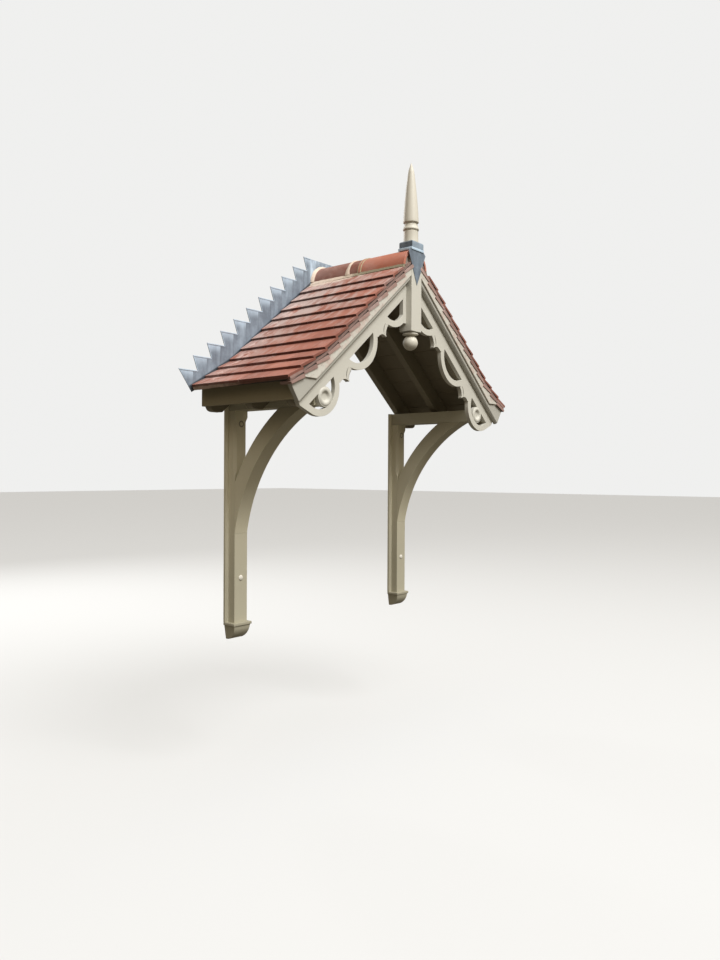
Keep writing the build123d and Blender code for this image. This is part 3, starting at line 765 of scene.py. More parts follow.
class PORCH_OT_turned(bpy.types.Operator):
    """Turns the finial and the pendant smooth"""
    bl_idname = "porch.turned"
    bl_label = "Finial and pendant"

    def execute(self, context):
        paint = context.scene.porch_paint
        self.turn("finial_turned", "finial_spire", self.finial(paint))
        self.turn("pendant_turned", "pendant_ball", self.pendant(paint))
        return {"FINISHED"}

    def turn(self, name, node, profile):
        """A turned piece in the place of a frame node."""
        low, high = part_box(node)
        centre = ((low.x + high.x) / 2, (low.y + high.y) / 2)
        form = turned_form(profile, centre, steps=48)
        piece_from(name, form, "finial", (node,))

    def finial(self, paint):
        """Drum, groove, bead, cove and a full taper to a point."""
        low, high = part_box("finial_spire")
        z = low.z
        taper_top = (0.0166, high.z - paint.point)
        profile = [(0.0415, z), (0.0420, z + 0.003)]
        profile += arc_points((0.0418, z + 0.005), (0.0405, z + 0.061), -0.0008, 6)
        profile += [(0.0374, z + 0.0635), (0.0374, z + 0.0652)]
        profile += arc_points((0.0410, z + 0.0670), (0.0428, z + 0.0790), 0.0022, 7)
        profile += arc_points((0.0416, z + 0.0820), (0.0385, z + 0.0950), -0.0006, 6)
        profile += arc_points((0.0360, z + 0.0962), (0.0368, z + 0.1080), -0.0034, 8)
        profile += [(0.0405, z + 0.1096), (0.0426, z + 0.1120)]
        profile += arc_points((0.0428, z + 0.1155), taper_top, 0.0030, 24)[:-1]
        profile += arc_points(taper_top, (0.0012, high.z), 0.0008, 8)
        return profile

    def pendant(self, paint):
        """Ball, cove, lip and neck."""
        low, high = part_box("pendant_ball")
        collar = (high.x - low.x) / 2
        collar_height = 0.022
        edge = high.z - collar_height
        middle = low.z + paint.ball
        start = -math.pi / 2
        last = math.asin(min(1.0, (edge - middle) / paint.ball))
        steps = 28
        profile = [(0.0015, low.z + 0.00005)]
        for step in range(1, steps + 1):
            turn = start + (last - start) * step / steps
            profile.append((paint.ball * math.cos(turn), middle + paint.ball * math.sin(turn)))
        cove = max(profile[-1][0], paint.neck - 0.001)
        profile += arc_points((cove, edge + 0.0005), (collar - 0.001, edge + 0.007), -0.0030, 8)
        profile += [(collar, edge + 0.0085), (collar, edge + 0.0125),
                    (collar - 0.002, edge + 0.0145), (paint.neck, edge + 0.016),
                    (paint.neck, high.z)]
        return profile


class Layout(Tree):
    """A Geometry Nodes tree under construction, with named inputs for its sizes."""

    def __init__(self, name, inputs):
        super().__init__(bpy.data.node_groups.new(name, "GeometryNodeTree"))
        self.name = name
        self.values = inputs
        kinds = {float: "NodeSocketFloat", int: "NodeSocketInt",
                 bpy.types.Object: "NodeSocketObject", bpy.types.Material: "NodeSocketMaterial"}
        sockets = self.tree.interface
        for title, value in inputs.items():
            kind = next(kinds[known] for known in kinds if isinstance(value, known))
            sockets.new_socket(title, in_out="INPUT", socket_type=kind)
        sockets.new_socket("Geometry", in_out="OUTPUT", socket_type="NodeSocketGeometry")
        self.group_in = self.tree.nodes.new("NodeGroupInput")

    def given(self, title):
        return self.term(self.group_in.outputs[title])

    def index(self):
        return self.term(self.made("GeometryNodeInputIndex"))

    def vector(self, x=0.0, y=0.0, z=0.0):
        return self.made("ShaderNodeCombineXYZ", {"X": x, "Y": y, "Z": z})

    def chance(self, low, high, seed):
        """A random number for each element."""
        node = self.node(
            "FunctionNodeRandomValue", {2: low, 3: high, "Seed": seed}, data_type="FLOAT")
        return self.term(node.outputs[1])

    def points(self, count, place):
        """A row of points at places that follow from their index."""
        row = self.made("GeometryNodeMeshLine", {"Count": count}, mode="OFFSET")
        return self.made("GeometryNodeSetPosition", {"Geometry": row, "Position": place})

    def toned(self, points, seed):
        """Store a random tone for each point."""
        node = self.node("GeometryNodeStoreNamedAttribute", {"Geometry": points, "Name": "tone"},
                         data_type="FLOAT", domain="POINT")
        value = next(item for item in node.inputs if item.name == "Value" and item.enabled)
        put(self.tree, value, self.chance(0.0, 1.0, seed))
        return node.outputs[0]

    def instances(self, points, rotation=(0.0, 0.0, 0.0), scale=(1.0, 1.0, 1.0), chosen=None):
        """The blank on every chosen point, as real geometry."""
        blank = self.node("GeometryNodeObjectInfo", {"Object": self.given("Blank")})
        placed = self.made("GeometryNodeInstanceOnPoints", {
            "Points": points, "Instance": blank.outputs["Geometry"], "Rotation": rotation,
            "Scale": scale, "Selection": chosen})
        return self.made("GeometryNodeRealizeInstances", {"Geometry": placed})

    def worn(self, geometry, amount, scale, seed):
        """Move every vertex a little by a noise, so that no two copies are alike."""
        swirl = self.node("ShaderNodeTexNoise", {"Scale": scale, "W": seed}, noise_dimensions="4D")
        centred = self.made("ShaderNodeVectorMath", {0: swirl.outputs["Color"], 1: (0.5, 0.5, 0.5)},
                            operation="SUBTRACT")
        offset = self.made("ShaderNodeVectorMath", {0: centred, "Scale": amount}, operation="SCALE")
        return self.made("GeometryNodeSetPosition", {"Geometry": geometry, "Offset": offset})

    def slope(self, distance, height):
        """X, Z and pitch of the roof at a distance up the slope and a height square to it."""
        given = self.given
        lower = distance.low(given("Sprocket Length"))
        upper = distance - lower
        steep = distance.over(given("Sprocket Length"))
        pitch = steep * (ROOF_PITCH - SPROCKET_PITCH) + SPROCKET_PITCH
        x = given("Eaves Reach") - lower * math.cos(SPROCKET_PITCH) - upper * math.cos(ROOF_PITCH)
        z = given("Eaves Height") + lower * math.sin(SPROCKET_PITCH) + upper * math.sin(ROOF_PITCH)
        return x + height * pitch.math("SINE"), z + height * pitch.math("COSINE"), pitch

    def lay(self, geometry, finish, slot, replaced=(), angle=30.0):
        """Close the tree, run it on an empty mesh with its values and make a piece of the result."""
        coated = self.made("GeometryNodeSetMaterial", {
            "Geometry": geometry, "Material": self.given("Finish")})
        self.node("NodeGroupOutput", {0: coated})
        carrier = linked(self.name + "_carrier", bpy.data.meshes.new(self.name + "_carrier"))
        modifier = carrier.modifiers.new("layout", "NODES")
        modifier.node_group = self.tree
        for item in self.tree.interface.items_tree:
            if item.item_type == "SOCKET" and item.in_out == "INPUT":
                modifier[item.identifier] = self.values[item.name]
        mesh = run_modifiers(carrier)
        mesh.name = self.name
        smooth_mesh(mesh, angle)
        object_from(self.name, mesh, finish, replaced)


def hidden_blank(name, form):
    """An object for the trees to place, removed once they have run."""
    return linked(name, mesh_from(name, form))


def sprocket_length(roof):
    return (roof.eaves_reach - roof.sprocket_start) / math.cos(SPROCKET_PITCH)


def eaves_height():
    """Underside of the tiling at the eaves, which is its lowest edge."""
    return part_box("right_roof_tiles")[0].z


def slope_to(roof, reach):
    """Length of the slope from the eaves up to a distance from the middle."""
    return sprocket_length(roof) + (roof.sprocket_start - reach) / math.cos(ROOF_PITCH)


def slope_inputs(roof, side):
    return {
        "Sprocket Length": sprocket_length(roof), "Eaves Reach": roof.eaves_reach,
        "Eaves Height": eaves_height(), "Side": float(SIDES[side]), "Seed": roof.seed + SIDES[side],
    }


def surface_point(roof, distance, height):
    """X and Z of the roof at a distance up the slope and a height square to it."""
    lower = min(distance, sprocket_length(roof))
    upper = max(distance - sprocket_length(roof), 0.0)
    pitch = ROOF_PITCH if upper > 0 else SPROCKET_PITCH
    x = roof.eaves_reach - lower * math.cos(SPROCKET_PITCH) - upper * math.cos(ROOF_PITCH)
    z = eaves_height() + lower * math.sin(SPROCKET_PITCH) + upper * math.sin(ROOF_PITCH)
    return (x + height * math.sin(pitch), z + height * math.cos(pitch))


class PORCH_OT_tiles(bpy.types.Operator):
    """Lays the plain tiles in courses over a dark fill of painted shade"""
    bl_idname = "porch.tiles"
    bl_label = "Plain tiles"

    def execute(self, context):
        roof = context.scene.porch_roof
        cuts = (-0.5, -0.25, 0.0, 0.25, 0.5)
        section = [(y, -0.5) for y in cuts] + [(y, 0.5) for y in reversed(cuts)]
        rings = [[(x, y, z) for y, z in section] for x in cuts]
        last = len(section) - 1
        caps = [(step, step + 1, last - 1 - step, last - step) for step in range(len(cuts) - 1)]
        blank = hidden_blank("tile_blank", tube(rings, caps))
        main = {"Courses": roof.courses, "Shift": 0.0, "Start": 0.0,
                "Tile Length": roof.tile_length, "Butt Height": roof.butt_height}
        clearance = 0.0005
        under = {"Courses": 1, "Shift": 1.0, "Start": 0.008, "Tile Length": roof.eaves_tile,
                 "Butt Height": roof.butt_height - roof.tile_thickness - clearance}
        for side in SIDES:
            self.courses(roof, side, "plain", "clay", (f"{side}_roof_tiles",), blank, main)
            self.courses(roof, side, "eaves", "verge_clay", (), blank, under)
            self.bed(side, roof)
            self.verge_bed(side, roof, "bedding", "verge_bed", front=0.0018, foot=-0.0015, top=0.0086)
            # A dark fill of painted shade behind the undercloak.
            self.verge_bed(side, roof, "gap", "dark_bed", front=0.0030, foot=-0.0116, top=-0.0020)
            self.eaves_bead(side, roof)
        bpy.data.objects.remove(blank)
        return {"FINISHED"}

    def courses(self, roof, side, title, finish, replaced, blank, sizes):
        """Courses of tiles, every other one shifted by half a tile, cut at verge and wall."""
        low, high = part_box("right_roof_tiles")
        layout = Layout(f"{side}_{title}_tiles", {
            **slope_inputs(roof, side), "Tile Width": roof.tile_width,
            "Tile Thickness": roof.tile_thickness, "Gauge": roof.tile_gauge, "Gap": roof.tile_gap,
            "Front": low.y, "Wall": high.y - 0.005, "Wear": roof.tile_wear, "Blank": blank,
            "Finish": FINISHES[finish], **sizes,
        })
        given = layout.given
        front, wall, width = given("Front"), given("Wall"), given("Tile Width")
        row = ((wall - front) / width).floor() + 2.0
        index = layout.index()
        course = (index / row + 0.0001).floor()
        column = index - course * row
        turn = course + given("Shift")
        odd = turn - (turn * 0.5).floor() * 2.0
        edge = front + (column - odd * 0.5) * width
        low_end = edge.high(front).low(wall)
        high_end = (edge + width).high(front).low(wall)
        seed = given("Seed")
        height = given("Butt Height") - given("Tile Thickness") * 0.5
        x, z, pitch = layout.slope(course * given("Gauge") + given("Start"), height)
        lap_rise = 0.12
        rock, slip = 0.006, 0.0015
        tilt = pitch - math.atan(lap_rise) + layout.chance(-rock, rock, seed + 1.0)
        back = given("Tile Length") * 0.5
        jitter = layout.chance(-slip, slip, seed + 2.0)
        place = layout.vector((x - tilt.math("COSINE") * back + jitter) * given("Side"),
                              (low_end + high_end) * 0.5, z + tilt.math("SINE") * back)
        points = layout.toned(layout.points(given("Courses") * row, place), seed + 3.0)
        wide = (high_end - low_end) - given("Gap")
        rotation = layout.vector(0.0, tilt * given("Side"), 0.0)
        scale = layout.vector(given("Tile Length"), wide, given("Tile Thickness"))
        sliver = 0.012
        tiles = layout.instances(points, rotation, scale, wide.over(sliver))
        tiles = layout.worn(tiles, amount=given("Wear"), scale=20.0, seed=seed)
        layout.lay(tiles, finish, "clay_tile", replaced)

    def bed(self, side, roof):
        """Dark fill of painted shade in the space under the tiles, kept back from every edge."""
        low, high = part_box(f"{side}_roof_tiles")
        under = roof.butt_height - roof.tile_thickness - 0.002
        set_back = 0.006
        places = [(0.012, 0.0005), (0.012, 0.0075), (roof.tile_gauge + 0.007, 0.0035)]
        for course in range(1, roof.courses):
            start = course * roof.tile_gauge + 0.008
            places += [(start, under), (start + roof.tile_gauge - 0.001, under - 0.012)]
        crown = slope_to(roof, 0.02)
        places += [(crown, 0.002), (crown, 0.0003), (sprocket_length(roof), 0.0003)]
        outline = [surface_point(roof, distance, height) for distance, height in places]
        prism(f"{side}_tile_bedding", outline, (low.y + set_back, high.y), "dark_bed",
              SIDES[side])

    def eaves_bead(self, side, roof):
        """Ragged line of mortar under the lowest course, thickest at the wall."""
        low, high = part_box(f"{side}_roof_tiles")
        top = roof.butt_height - roof.tile_thickness
        start, end = low.y + 0.006, high.y - 0.008
        thin, thick = 0.007, 0.020
        back = 0.0110
        steps = 110
        rings = []
        for step in range(steps + 1):
            depth = start + (end - start) * step / steps
            foot = top - thin - (thick - thin) * step / steps
            corners = ((-0.0005, top), (0.0005, foot), (back, foot - 0.002), (back, top))
            places = [surface_point(roof, distance, height) for distance, height in corners]
            rings.append([(SIDES[side] * x, depth, z) for x, z in places])
        form = tube(rings)
        ruffle(form, amount=0.0024, scale=42.0)
        piece_from(f"{side}_eaves_bead", form, "smear")

    def verge_bed(self, side, roof, title, finish, front, foot, top):
        """Line of mortar at the verge under the tiles, or a dark fill of painted shade behind the
        undercloak.
        """
        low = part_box(f"{side}_roof_tiles")[0]
        length = slope_to(roof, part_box("king_post")[1].x)
        back = 0.020
        start, end = 0.004, length - 0.002
        steps = 130
        rings = []
        for step in range(steps + 1):
            distance = start + (end - start) * step / steps
            ring = []
            for depth, height in ((front, foot), (front, top), (back, top), (back, foot)):
                x, z = surface_point(roof, distance, height)
                ring.append((SIDES[side] * x, low.y + depth, z))
            rings.append(ring)
        form = tube(rings)
        ruffle(form, amount=0.0013, scale=60.0)
        piece_from(f"{side}_verge_{title}", form, finish)


class PORCH_OT_verge(bpy.types.Operator):
    """Lays the undercloak tiles whose upper ends hang over the gable boards"""
    bl_idname = "porch.verge"
    bl_label = "Undercloak"

    def blank(self, roof, side, length):
        """One undercloak tile along X, with a lip at its front that deepens to its upper end."""
        low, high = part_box("right_undercloak")
        front, back = low.y - roof.lip, high.y
        inner, recess = low.y + 0.0006, low.y + 0.004
        turn = -SIDES[side]
        top = -0.0004
        foot = -roof.undercloak
        ends = ((0.0, -0.0012, 0.0006), (length - 0.0012, -0.0092, roof.tooth))
        rings = []
        for along, crest, hang in ends:
            section = ((front, crest), (recess, crest), (recess, top), (back, top),
                       (back, foot), (inner, foot), (inner, foot - hang), (front, foot - hang))
            rings.append([(along, turn * depth, height) for depth, height in section])
        caps = ((2, 3, 4, 5, 1), (0, 1, 5, 6, 7))
        return hidden_blank(f"{side}_undercloak_blank", tube(rings, caps))

    def execute(self, context):
        roof = context.scene.porch_roof
        reach = slope_to(roof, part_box("king_post")[1].x)
        count = round(reach / roof.tile_gauge)
        for side in SIDES:
            blank = self.blank(roof, side, reach / count)
            layout = Layout(f"{side}_undercloak_tiles", {
                **slope_inputs(roof, side), "Blank": blank, "Count": count,
                "Length": reach / count, "Finish": FINISHES["verge_clay"],
            })
            given = layout.given
            index = layout.index()
            x, z, pitch = layout.slope(index * given("Length"), index * 0.0)
            points = layout.points(given("Count"), layout.vector(x * given("Side"), 0.0, z))
            points = layout.toned(points, given("Seed") + 5.0)
            turn = math.pi if SIDES[side] > 0 else 0.0
            tiles = layout.instances(points, layout.vector(0.0, -pitch, turn))
            tiles = layout.worn(tiles, amount=0.0010, scale=30.0, seed=given("Seed"))
            layout.lay(tiles, "verge_clay", "clay_tile", (f"{side}_undercloak",))
            bpy.data.objects.remove(blank)
        return {"FINISHED"}


class PORCH_OT_ridge(bpy.types.Operator):
    """Lays the ridge tiles with their joints, their bedding and the mortar in their end"""
    bl_idname = "porch.ridge"
    bl_label = "Ridge"

    def execute(self, context):
        roof = context.scene.porch_roof
        low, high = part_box("ridge_tiles")
        front = low.y
        back = high.y
        first = back - roof.ridge_length
        second = first - roof.ridge_cut
        gap = roof.ridge_gap
        roll_width, roll_height = 0.0150, 0.0030
        rim_width, rim_height = 0.0065, 0.0015
        roll = (second - gap, second - gap - roll_width, roll_height)
        rim = (front + 0.0005 + rim_width, front + 0.0005, rim_height)
        self.pipe(roof, "back", (back, first), "ridge_dark")
        self.pipe(roof, "short", (first - gap, second), "ridge_dark")
        self.pipe(roof, "front", (second - gap, front), "ridge_red", (roll, rim))
        self.joint(roof, "joint", first - gap / 2, "mortar", width=0.0190, height=0.0040, rough=0.0014)
        self.joint(roof, "seam_back", second - gap / 2, "lichen", width=0.0050, height=0.0035)
        self.joint(roof, "seam_front", second - 0.0200, "lichen", width=0.0045, height=0.0030)
        outer = roof.ridge_radius
        slopes = ((0.0, 0.0120), (0.005, 0.0115), (0.013, 0.0070), (0.020, 0.0020))
        collar = [(back - depth, outer + height, outer + 0.0004) for depth, height in slopes]
        self.arch("ridge_collar", collar, "mortar", "mortar", rough=0.0014, steps=60)
        for side in SIDES:
            self.bedding(side)
            self.end_filling(side, roof)
        return {"FINISHED"}

    def arch(self, name, stations, finish, slot, replaced=(), rough=0.0, steps=36, flare=0.0):
        """Half-round shell along Y from stations of depth, outer radius and inner radius."""
        low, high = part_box("ridge_tiles")
        centre = high.z - bpy.context.scene.porch_roof.ridge_radius
        middle = (stations[0][0] + stations[-1][0]) / 2
        rings = []
        for depth, outer, inner in stations:
            ring = []
            spread = (depth - middle) * flare
            for radius, order in ((outer, 1), (inner, -1)):
                foot = math.asin((low.z - centre) / radius)
                turns = [foot + (math.pi - 2 * foot) * step / steps for step in range(steps + 1)]
                ring += [(radius * math.cos(turn), depth + spread * (1 - math.sin(turn)) ** 2,
                          centre + radius * math.sin(turn)) for turn in turns[::order]]
            rings.append(ring)
        last = 2 * steps + 1
        caps = [(step, step + 1, last - 1 - step, last - step) for step in range(steps)]
        form = tube(rings, caps)
        ruffle(form, amount=rough, scale=45.0)
        piece_from(name, form, finish, replaced)

    def pipe(self, roof, title, depths, finish, raised=()):
        """One ridge tile between two depths, with rolled bands at some places."""
        outer = roof.ridge_radius
        stations = [(depth, outer) for depth in depths]
        inset = 0.0015
        for start, end, height in raised:
            inwards = math.copysign(inset, end - start)
            stations += [(start, outer), (start + inwards, outer + height),
                         (end - inwards, outer + height), (end, outer)]
        stations.sort(reverse=True)
        stations = [(depth, radius, roof.ridge_bore) for depth, radius in stations]
        self.arch(f"ridge_tile_{title}", stations, finish, "clay_tile", ("ridge_tiles",))

    def joint(self, roof, title, middle, finish, width, height, rough=0.0006):
        """Band of mortar that stands a little proud of the tiles."""
        outer = roof.ridge_radius
        sunk = 0.004
        stations = []
        for share in (-1, -2 / 3, -1 / 3, 0, 1 / 3, 2 / 3, 1):
            crest = outer + height * (1 - share ** 2) + 0.0002
            stations.append((middle - share * width / 2, crest, outer - sunk))
        self.arch(f"ridge_{title}", stations, finish, "mortar", rough=rough, steps=60, flare=1.0)

    def bedding(self, side):
        """Fillet of mortar along the foot of the ridge tiles, wider towards the wall."""
        low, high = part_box(f"{side}_ridge_mortar")
        inner, outer = sorted((abs(low.x), abs(high.x)))
        fall = (high.z - low.z) / (outer - inner)
        narrowing = 0.010
        steps = 48
        rings = []
        for step in range(steps + 1):
            share = step / steps
            depth = low.y + (high.y - low.y) * share
            reach = outer - narrowing * (1 - share)
            foot = high.z - fall * (reach - inner)
            section = ((inner, high.z), (inner + 0.0137, high.z + 0.001), (reach, foot),
                       (reach - 0.004, foot - 0.006), (inner + 0.004, high.z - 0.014))
            rings.append([(SIDES[side] * x, depth, z) for x, z in section])
        form = tube(rings)
        ruffle(form, amount=0.0018, scale=38.0)
        form.verts.ensure_lookup_table()
        corners = len(rings[0])
        for vertex in form.verts[:corners]:
            vertex.co.y = low.y + 0.001
        for vertex in form.verts[-corners:]:
            vertex.co.y = high.y
        piece_from(f"{side}_ridge_bedding", form, "ridge_bed", (f"{side}_ridge_mortar",))

    def end_filling(self, side, roof):
        """Mortar between the last ridge tile and the king post."""
        low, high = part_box("ridge_tiles")
        clearance = 0.0003
        centre = high.z - roof.ridge_radius
        radius = roof.ridge_bore - clearance
        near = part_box("king_post")[1].x + clearance
        set_back, filled = 0.007, 0.050
        first = math.asin((low.z - centre) / radius)
        last = math.acos(near / radius)
        steps = 12
        outline = [(near, low.z)]
        for step in range(steps + 1):
            turn = first + (last - first) * step / steps
            outline.append((radius * math.cos(turn), centre + radius * math.sin(turn)))
        prism(f"{side}_ridge_end_filling", outline, (low.y + set_back, low.y + filled),
              "end_bed", SIDES[side])


class PORCH_OT_lead(bpy.types.Operator):
    """Dresses the flashing, the saddle, the cap and the apron in lead"""
    bl_idname = "porch.lead"
    bl_label = "Lead"

    def execute(self, context):
        lead = context.scene.porch_lead
        form = bmesh.new()
        bmesh.ops.create_cube(form, size=1.0)
        upright = [edge for edge in form.edges
                   if abs(edge.verts[0].co.x - edge.verts[1].co.x) > 0.5]
        bmesh.ops.bevel(form, geom=upright, offset=0.25, segments=1, affect="EDGES")
        blank = hidden_blank("fold_blank", form)
        for side in SIDES:
            refinish(f"{side}_stepped_flashing", "step_lead")
            self.folds(side, lead, blank)
        bpy.data.objects.remove(blank)
        refinish("ridge_saddle", "lead")
        refinish("lead_apron", "plain_lead")
        joinery("lead_cap", lead.cap_arris, "cap_lead")
        self.skirt()
        return {"FINISHED"}

    def folds(self, side, lead, blank):
        """Bright folded edges along the top and the rake of every step."""
        low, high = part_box(f"{side}_stepped_flashing")
        layout = Layout(f"{side}_flashing_folds", {
            "Count": lead.steps, "Tip": max(abs(low.x), abs(high.x)) - 0.0003,
            "Tip Height": high.z - (lead.steps - 1) * lead.step_rise, "Rise": lead.step_rise,
            "Run": lead.step_run, "Rake": lead.step_rake, "Fold": lead.fold,
            "Saddle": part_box("ridge_saddle")[1].x, "Depth": low.y, "Side": float(SIDES[side]),
            "Blank": blank, "Finish": FINISHES["fold_lead"],
        })
        given = layout.given
        side_sign, depth, fold = given("Side"), given("Depth"), given("Fold")
        rise, run, rake = given("Rise"), given("Run"), given("Rake")
        index = layout.index()
        x = given("Tip") - index * run
        z = given("Tip Height") + index * rise
        length = (run + rake).low(x - given("Saddle"))
        place = layout.vector((x - length * 0.5) * side_sign, depth - 0.0006, z - fold * 0.5)
        level_depth, sloped_depth = 0.0032, 0.0026
        level = layout.instances(layout.points(given("Count"), place),
                                 scale=layout.vector(length, level_depth, fold))
        edge = x - run - rake * 0.5 - fold * 0.3
        place = layout.vector(edge * side_sign, depth - 0.0002, z + rise * 0.5)
        lean = math.atan2(lead.step_rake, lead.step_rise)
        tall = (rise * rise + rake * rake).math("POWER", 0.5)
        sloped = layout.instances(layout.points(given("Count") - 1.0, place),
                                  layout.vector(0.0, side_sign * lean, 0.0),
                                  layout.vector(fold * 0.55, sloped_depth, tall))
        both = layout.node("GeometryNodeJoinGeometry")
        for strips in (level, sloped):
            layout.tree.links.new(strips, both.inputs[0])
        strips = layout.worn(both.outputs[0], amount=0.0006, scale=30.0, seed=3.0)
        layout.lay(strips, "fold_lead", "lead", angle=40.0)

    def skirt(self):
        """Turned-out lower edge of the cap, with rounded edges."""
        cap_low, cap_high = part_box("lead_cap")
        flare, fall, lap = 0.004, 0.011, 0.004
        reach = cap_high.x + flare
        low = (-reach, cap_low.y + 0.0004, cap_low.z - fall)
        high = (reach, cap_high.y + flare, cap_low.z + lap)
        form = bmesh.new()
        bmesh.ops.create_cube(form, size=1.0)
        for vertex in form.verts:
            vertex.co = [start + (share + 0.5) * (end - start)
                         for start, end, share in zip(low, high, vertex.co)]
        bmesh.ops.bevel(
            form, geom=form.edges[:], offset=0.002, segments=2, profile=0.5, affect="EDGES")
        piece_from("lead_skirt", form, "skirt")


class PORCH_OT_bolts(bpy.types.Operator):
    """Sets a domed cover on each post, and an upper bolt head in a ring round a flat disc of painted
    shade for its recess
    """
    bl_idname = "porch.bolts"
    bl_label = "Bolts"

    def execute(self, context):
        lead = context.scene.porch_lead
        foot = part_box("right_foot")[1].z
        lower = foot + lead.lower_bolt
        upper = foot + lead.upper_bolt
        middle = 0.0004
        seat = 0.0004
        steps = 7
        dome = [(middle, -lead.cover_rise)]
        for step in range(1, steps + 1):
            turn = step / steps * math.pi / 2
            dome.append((lead.cover_radius * math.sin(turn), -lead.cover_rise * math.cos(turn)))
        dome += [(lead.cover_radius, seat), (middle, seat)]
        rim, hole, head = lead.ring_radius, lead.hole_radius, lead.head_radius
        ring = ((middle, 0.0002), (rim, 0.0002), (rim, -0.0008), (rim - 0.0012, -0.0016),
                (rim - 0.0030, -0.0008), (hole, 0.0001), (middle, 0.0001))
        recess = ((middle, -0.0004), (hole, -0.0004), (hole, 0.0002), (middle, 0.0002))
        bolt = ((middle, -0.0040), (0.0060, -0.0037), (0.0092, -0.0026), (head, -0.0003),
                (head, 0.0002), (middle, 0.0002))
        self.pair("bolt_covers", dome, 32, lower, "cap")
        self.pair("bolt_rings", ring, 40, upper, "post")
        # The recess is a flat disc in painted shade.
        self.pair("bolt_recesses", recess, 32, upper, "recess")
        self.pair("bolt_heads", bolt, 24, upper, "post")
        return {"FINISHED"}

    def pair(self, name, profile, steps, height, finish):
        """The same turned piece on both posts."""
        low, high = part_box("right_post")
        blank = hidden_blank(name + "_blank", turned_form(profile, (0.0, 0.0), steps, "Y"))
        layout = Layout(name, {
            "Count": 2, "Spacing": low.x + high.x, "Height": height, "Front": low.y,
            "Blank": blank, "Finish": FINISHES[finish],
        })
        given = layout.given
        place = layout.vector((layout.index() - 0.5) * given("Spacing"), given("Front"),
                              given("Height"))
        both = layout.instances(layout.points(given("Count"), place))
        layout.lay(both, finish, "painted_timber", angle=40.0)
        bpy.data.objects.remove(blank)


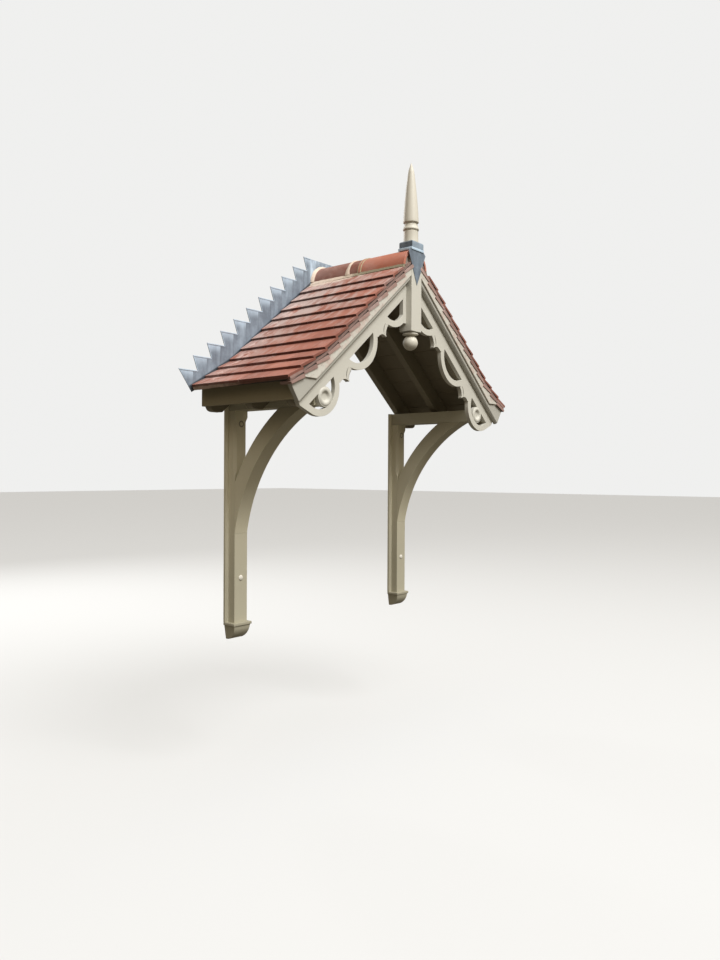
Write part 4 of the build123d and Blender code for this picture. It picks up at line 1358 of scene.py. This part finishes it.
class PORCH_OT_stage(bpy.types.Operator):
    """Sets the floor, the lamps, the sky and the camera"""
    bl_idname = "porch.stage"
    bl_label = "Stage"

    def execute(self, context):
        scene = context.scene
        stage = scene.porch_stage
        scene.view_settings.view_transform = "Standard"
        self.floor(stage)
        self.sky(scene, stage)
        self.lamp("key", stage.key, place=(-1.5, -11.2, 11.0), size=8.5)
        self.lamp("back", stage.back, place=(1.0, 8.0, 3.5), size=5.0)
        data = bpy.data.cameras.new("photo_camera")
        data.lens = stage.lens
        data.sensor_width = 36.0
        data.sensor_fit = "AUTO"
        scene.camera = linked("photo_camera", data)
        scene.camera.matrix_world = self.aim(stage)
        return {"FINISHED"}

    def floor(self, stage):
        """Wide floor, even and pale to the camera and dull to the light."""
        reach, level = stage.floor_reach, -stage.floor_depth
        corners = [(-reach, -reach, level), (reach, -reach, level),
                   (reach, reach, level), (-reach, reach, level)]
        mesh = bpy.data.meshes.new("floor")
        mesh.from_pydata(corners, [], [(0, 1, 2, 3)])
        finish = Finish("floor_paint")
        made = finish.made
        lit = made("ShaderNodeBsdfDiffuse", {"Color": (0.42, 0.43, 0.44)})
        even = made("ShaderNodeEmission", {"Color": (0.30, 0.30, 0.295)})
        seen = made("ShaderNodeAddShader", {0: lit, 1: even})
        unseen = made("ShaderNodeBsdfDiffuse", {"Color": (0.12, 0.11, 0.09)})
        mixed = made("ShaderNodeMixShader", {0: made("ShaderNodeLightPath"), 1: unseen, 2: seen})
        finish.node("ShaderNodeOutputMaterial", {"Surface": mixed})
        mesh.materials.append(finish.material)
        linked("floor", mesh)

    def sky(self, scene, stage):
        """Open sky in front and above, little light from the side of the wall and from below."""
        scene.world = bpy.data.worlds.new("sky")
        scene.world.use_nodes = True
        tree = Tree(scene.world.node_tree)
        tree.tree.nodes.clear()
        made = tree.made
        direction = tree.node("ShaderNodeTexCoord").outputs["Generated"]
        height = tree.part(direction, "Z").step(0.05, 0.78)
        ahead = (-tree.part(direction, "Y")).step(-0.35, 0.30)
        strength = (ahead * (1.0 - stage.wall_side) + stage.wall_side) * height * stage.sky
        warm = tree.node("ShaderNodeMix", {
            0: (ahead * height).step(0.35, 1.0), 6: (1.0, 0.82, 0.58), 7: DAYLIGHT,
        }, data_type="RGBA")
        light = made("ShaderNodeBackground", {
            "Color": warm.outputs[2], "Strength": strength + stage.bounce})
        backdrop = made("ShaderNodeBackground", {"Color": (0.87, 0.87, 0.86), "Strength": 1.0})
        mixed = made("ShaderNodeMixShader", {0: made("ShaderNodeLightPath"), 1: light, 2: backdrop})
        tree.node("ShaderNodeOutputWorld", {"Surface": mixed})

    def aim(self, stage):
        """Camera matrix from its heading, tilt and roll."""
        ahead = Vector((math.sin(stage.heading) * math.cos(stage.tilt),
                        math.cos(stage.heading) * math.cos(stage.tilt), math.sin(stage.tilt)))
        right = Vector((math.cos(stage.heading), -math.sin(stage.heading), 0.0))
        down = ahead.cross(right)
        turned = math.cos(stage.roll) * right + math.sin(stage.roll) * down
        down = math.cos(stage.roll) * down - math.sin(stage.roll) * right
        matrix = Matrix((turned, -down, -ahead)).transposed().to_4x4()
        matrix.translation = Vector(stage.camera_place)
        return matrix

    def lamp(self, name, power, place, size):
        """Round lamp that shines on the middle of the porch."""
        target = Vector((0.0, -0.3, -0.3))
        data = bpy.data.lights.new(name, "AREA")
        data.shape = "DISK"
        data.size = size
        data.energy = power
        data.color = DAYLIGHT
        lamp = linked(name, data)
        ahead = (target - Vector(place)).normalized()
        lamp.matrix_world = ahead.to_track_quat("-Z", "Y").to_matrix().to_4x4()
        lamp.location = place


OPERATORS = (
    PORCH_OT_frame, PORCH_OT_gable, PORCH_OT_turned, PORCH_OT_tiles, PORCH_OT_verge,
    PORCH_OT_ridge, PORCH_OT_lead, PORCH_OT_bolts, PORCH_OT_stage,
)
GROUPS = {
    "porch_paint": PorchPaintSettings, "porch_roof": PorchRoofSettings,
    "porch_lead": PorchLeadSettings, "porch_stage": PorchStageSettings,
}


class PORCH_PT_panel(bpy.types.Panel):
    """Lists the steps and sizes of the porch"""
    bl_label = "Entrance Porch"
    bl_idname = "PORCH_PT_panel"
    bl_space_type = "VIEW_3D"
    bl_region_type = "UI"
    bl_category = "Porch"

    def draw(self, context):
        for operator in OPERATORS:
            self.layout.operator(operator.bl_idname)
        for group, kind in GROUPS.items():
            box = self.layout.box()
            box.label(text=kind.__doc__)
            for name in kind.__annotations__:
                box.prop(getattr(context.scene, group), name)


def register():
    for kind in (*GROUPS.values(), *OPERATORS, PORCH_PT_panel):
        bpy.utils.register_class(kind)
    for name, kind in GROUPS.items():
        setattr(bpy.types.Scene, name, bpy.props.PointerProperty(type=kind))


def unregister():
    for name in GROUPS:
        delattr(bpy.types.Scene, name)
    for kind in reversed((*GROUPS.values(), *OPERATORS, PORCH_PT_panel)):
        bpy.utils.unregister_class(kind)


def main():
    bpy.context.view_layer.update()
    register()
    make_finishes()
    for operator in OPERATORS:
        group, name = operator.bl_idname.split(".")
        getattr(getattr(bpy.ops, group), name)()
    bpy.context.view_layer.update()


if __name__ == "__main__":
    main()
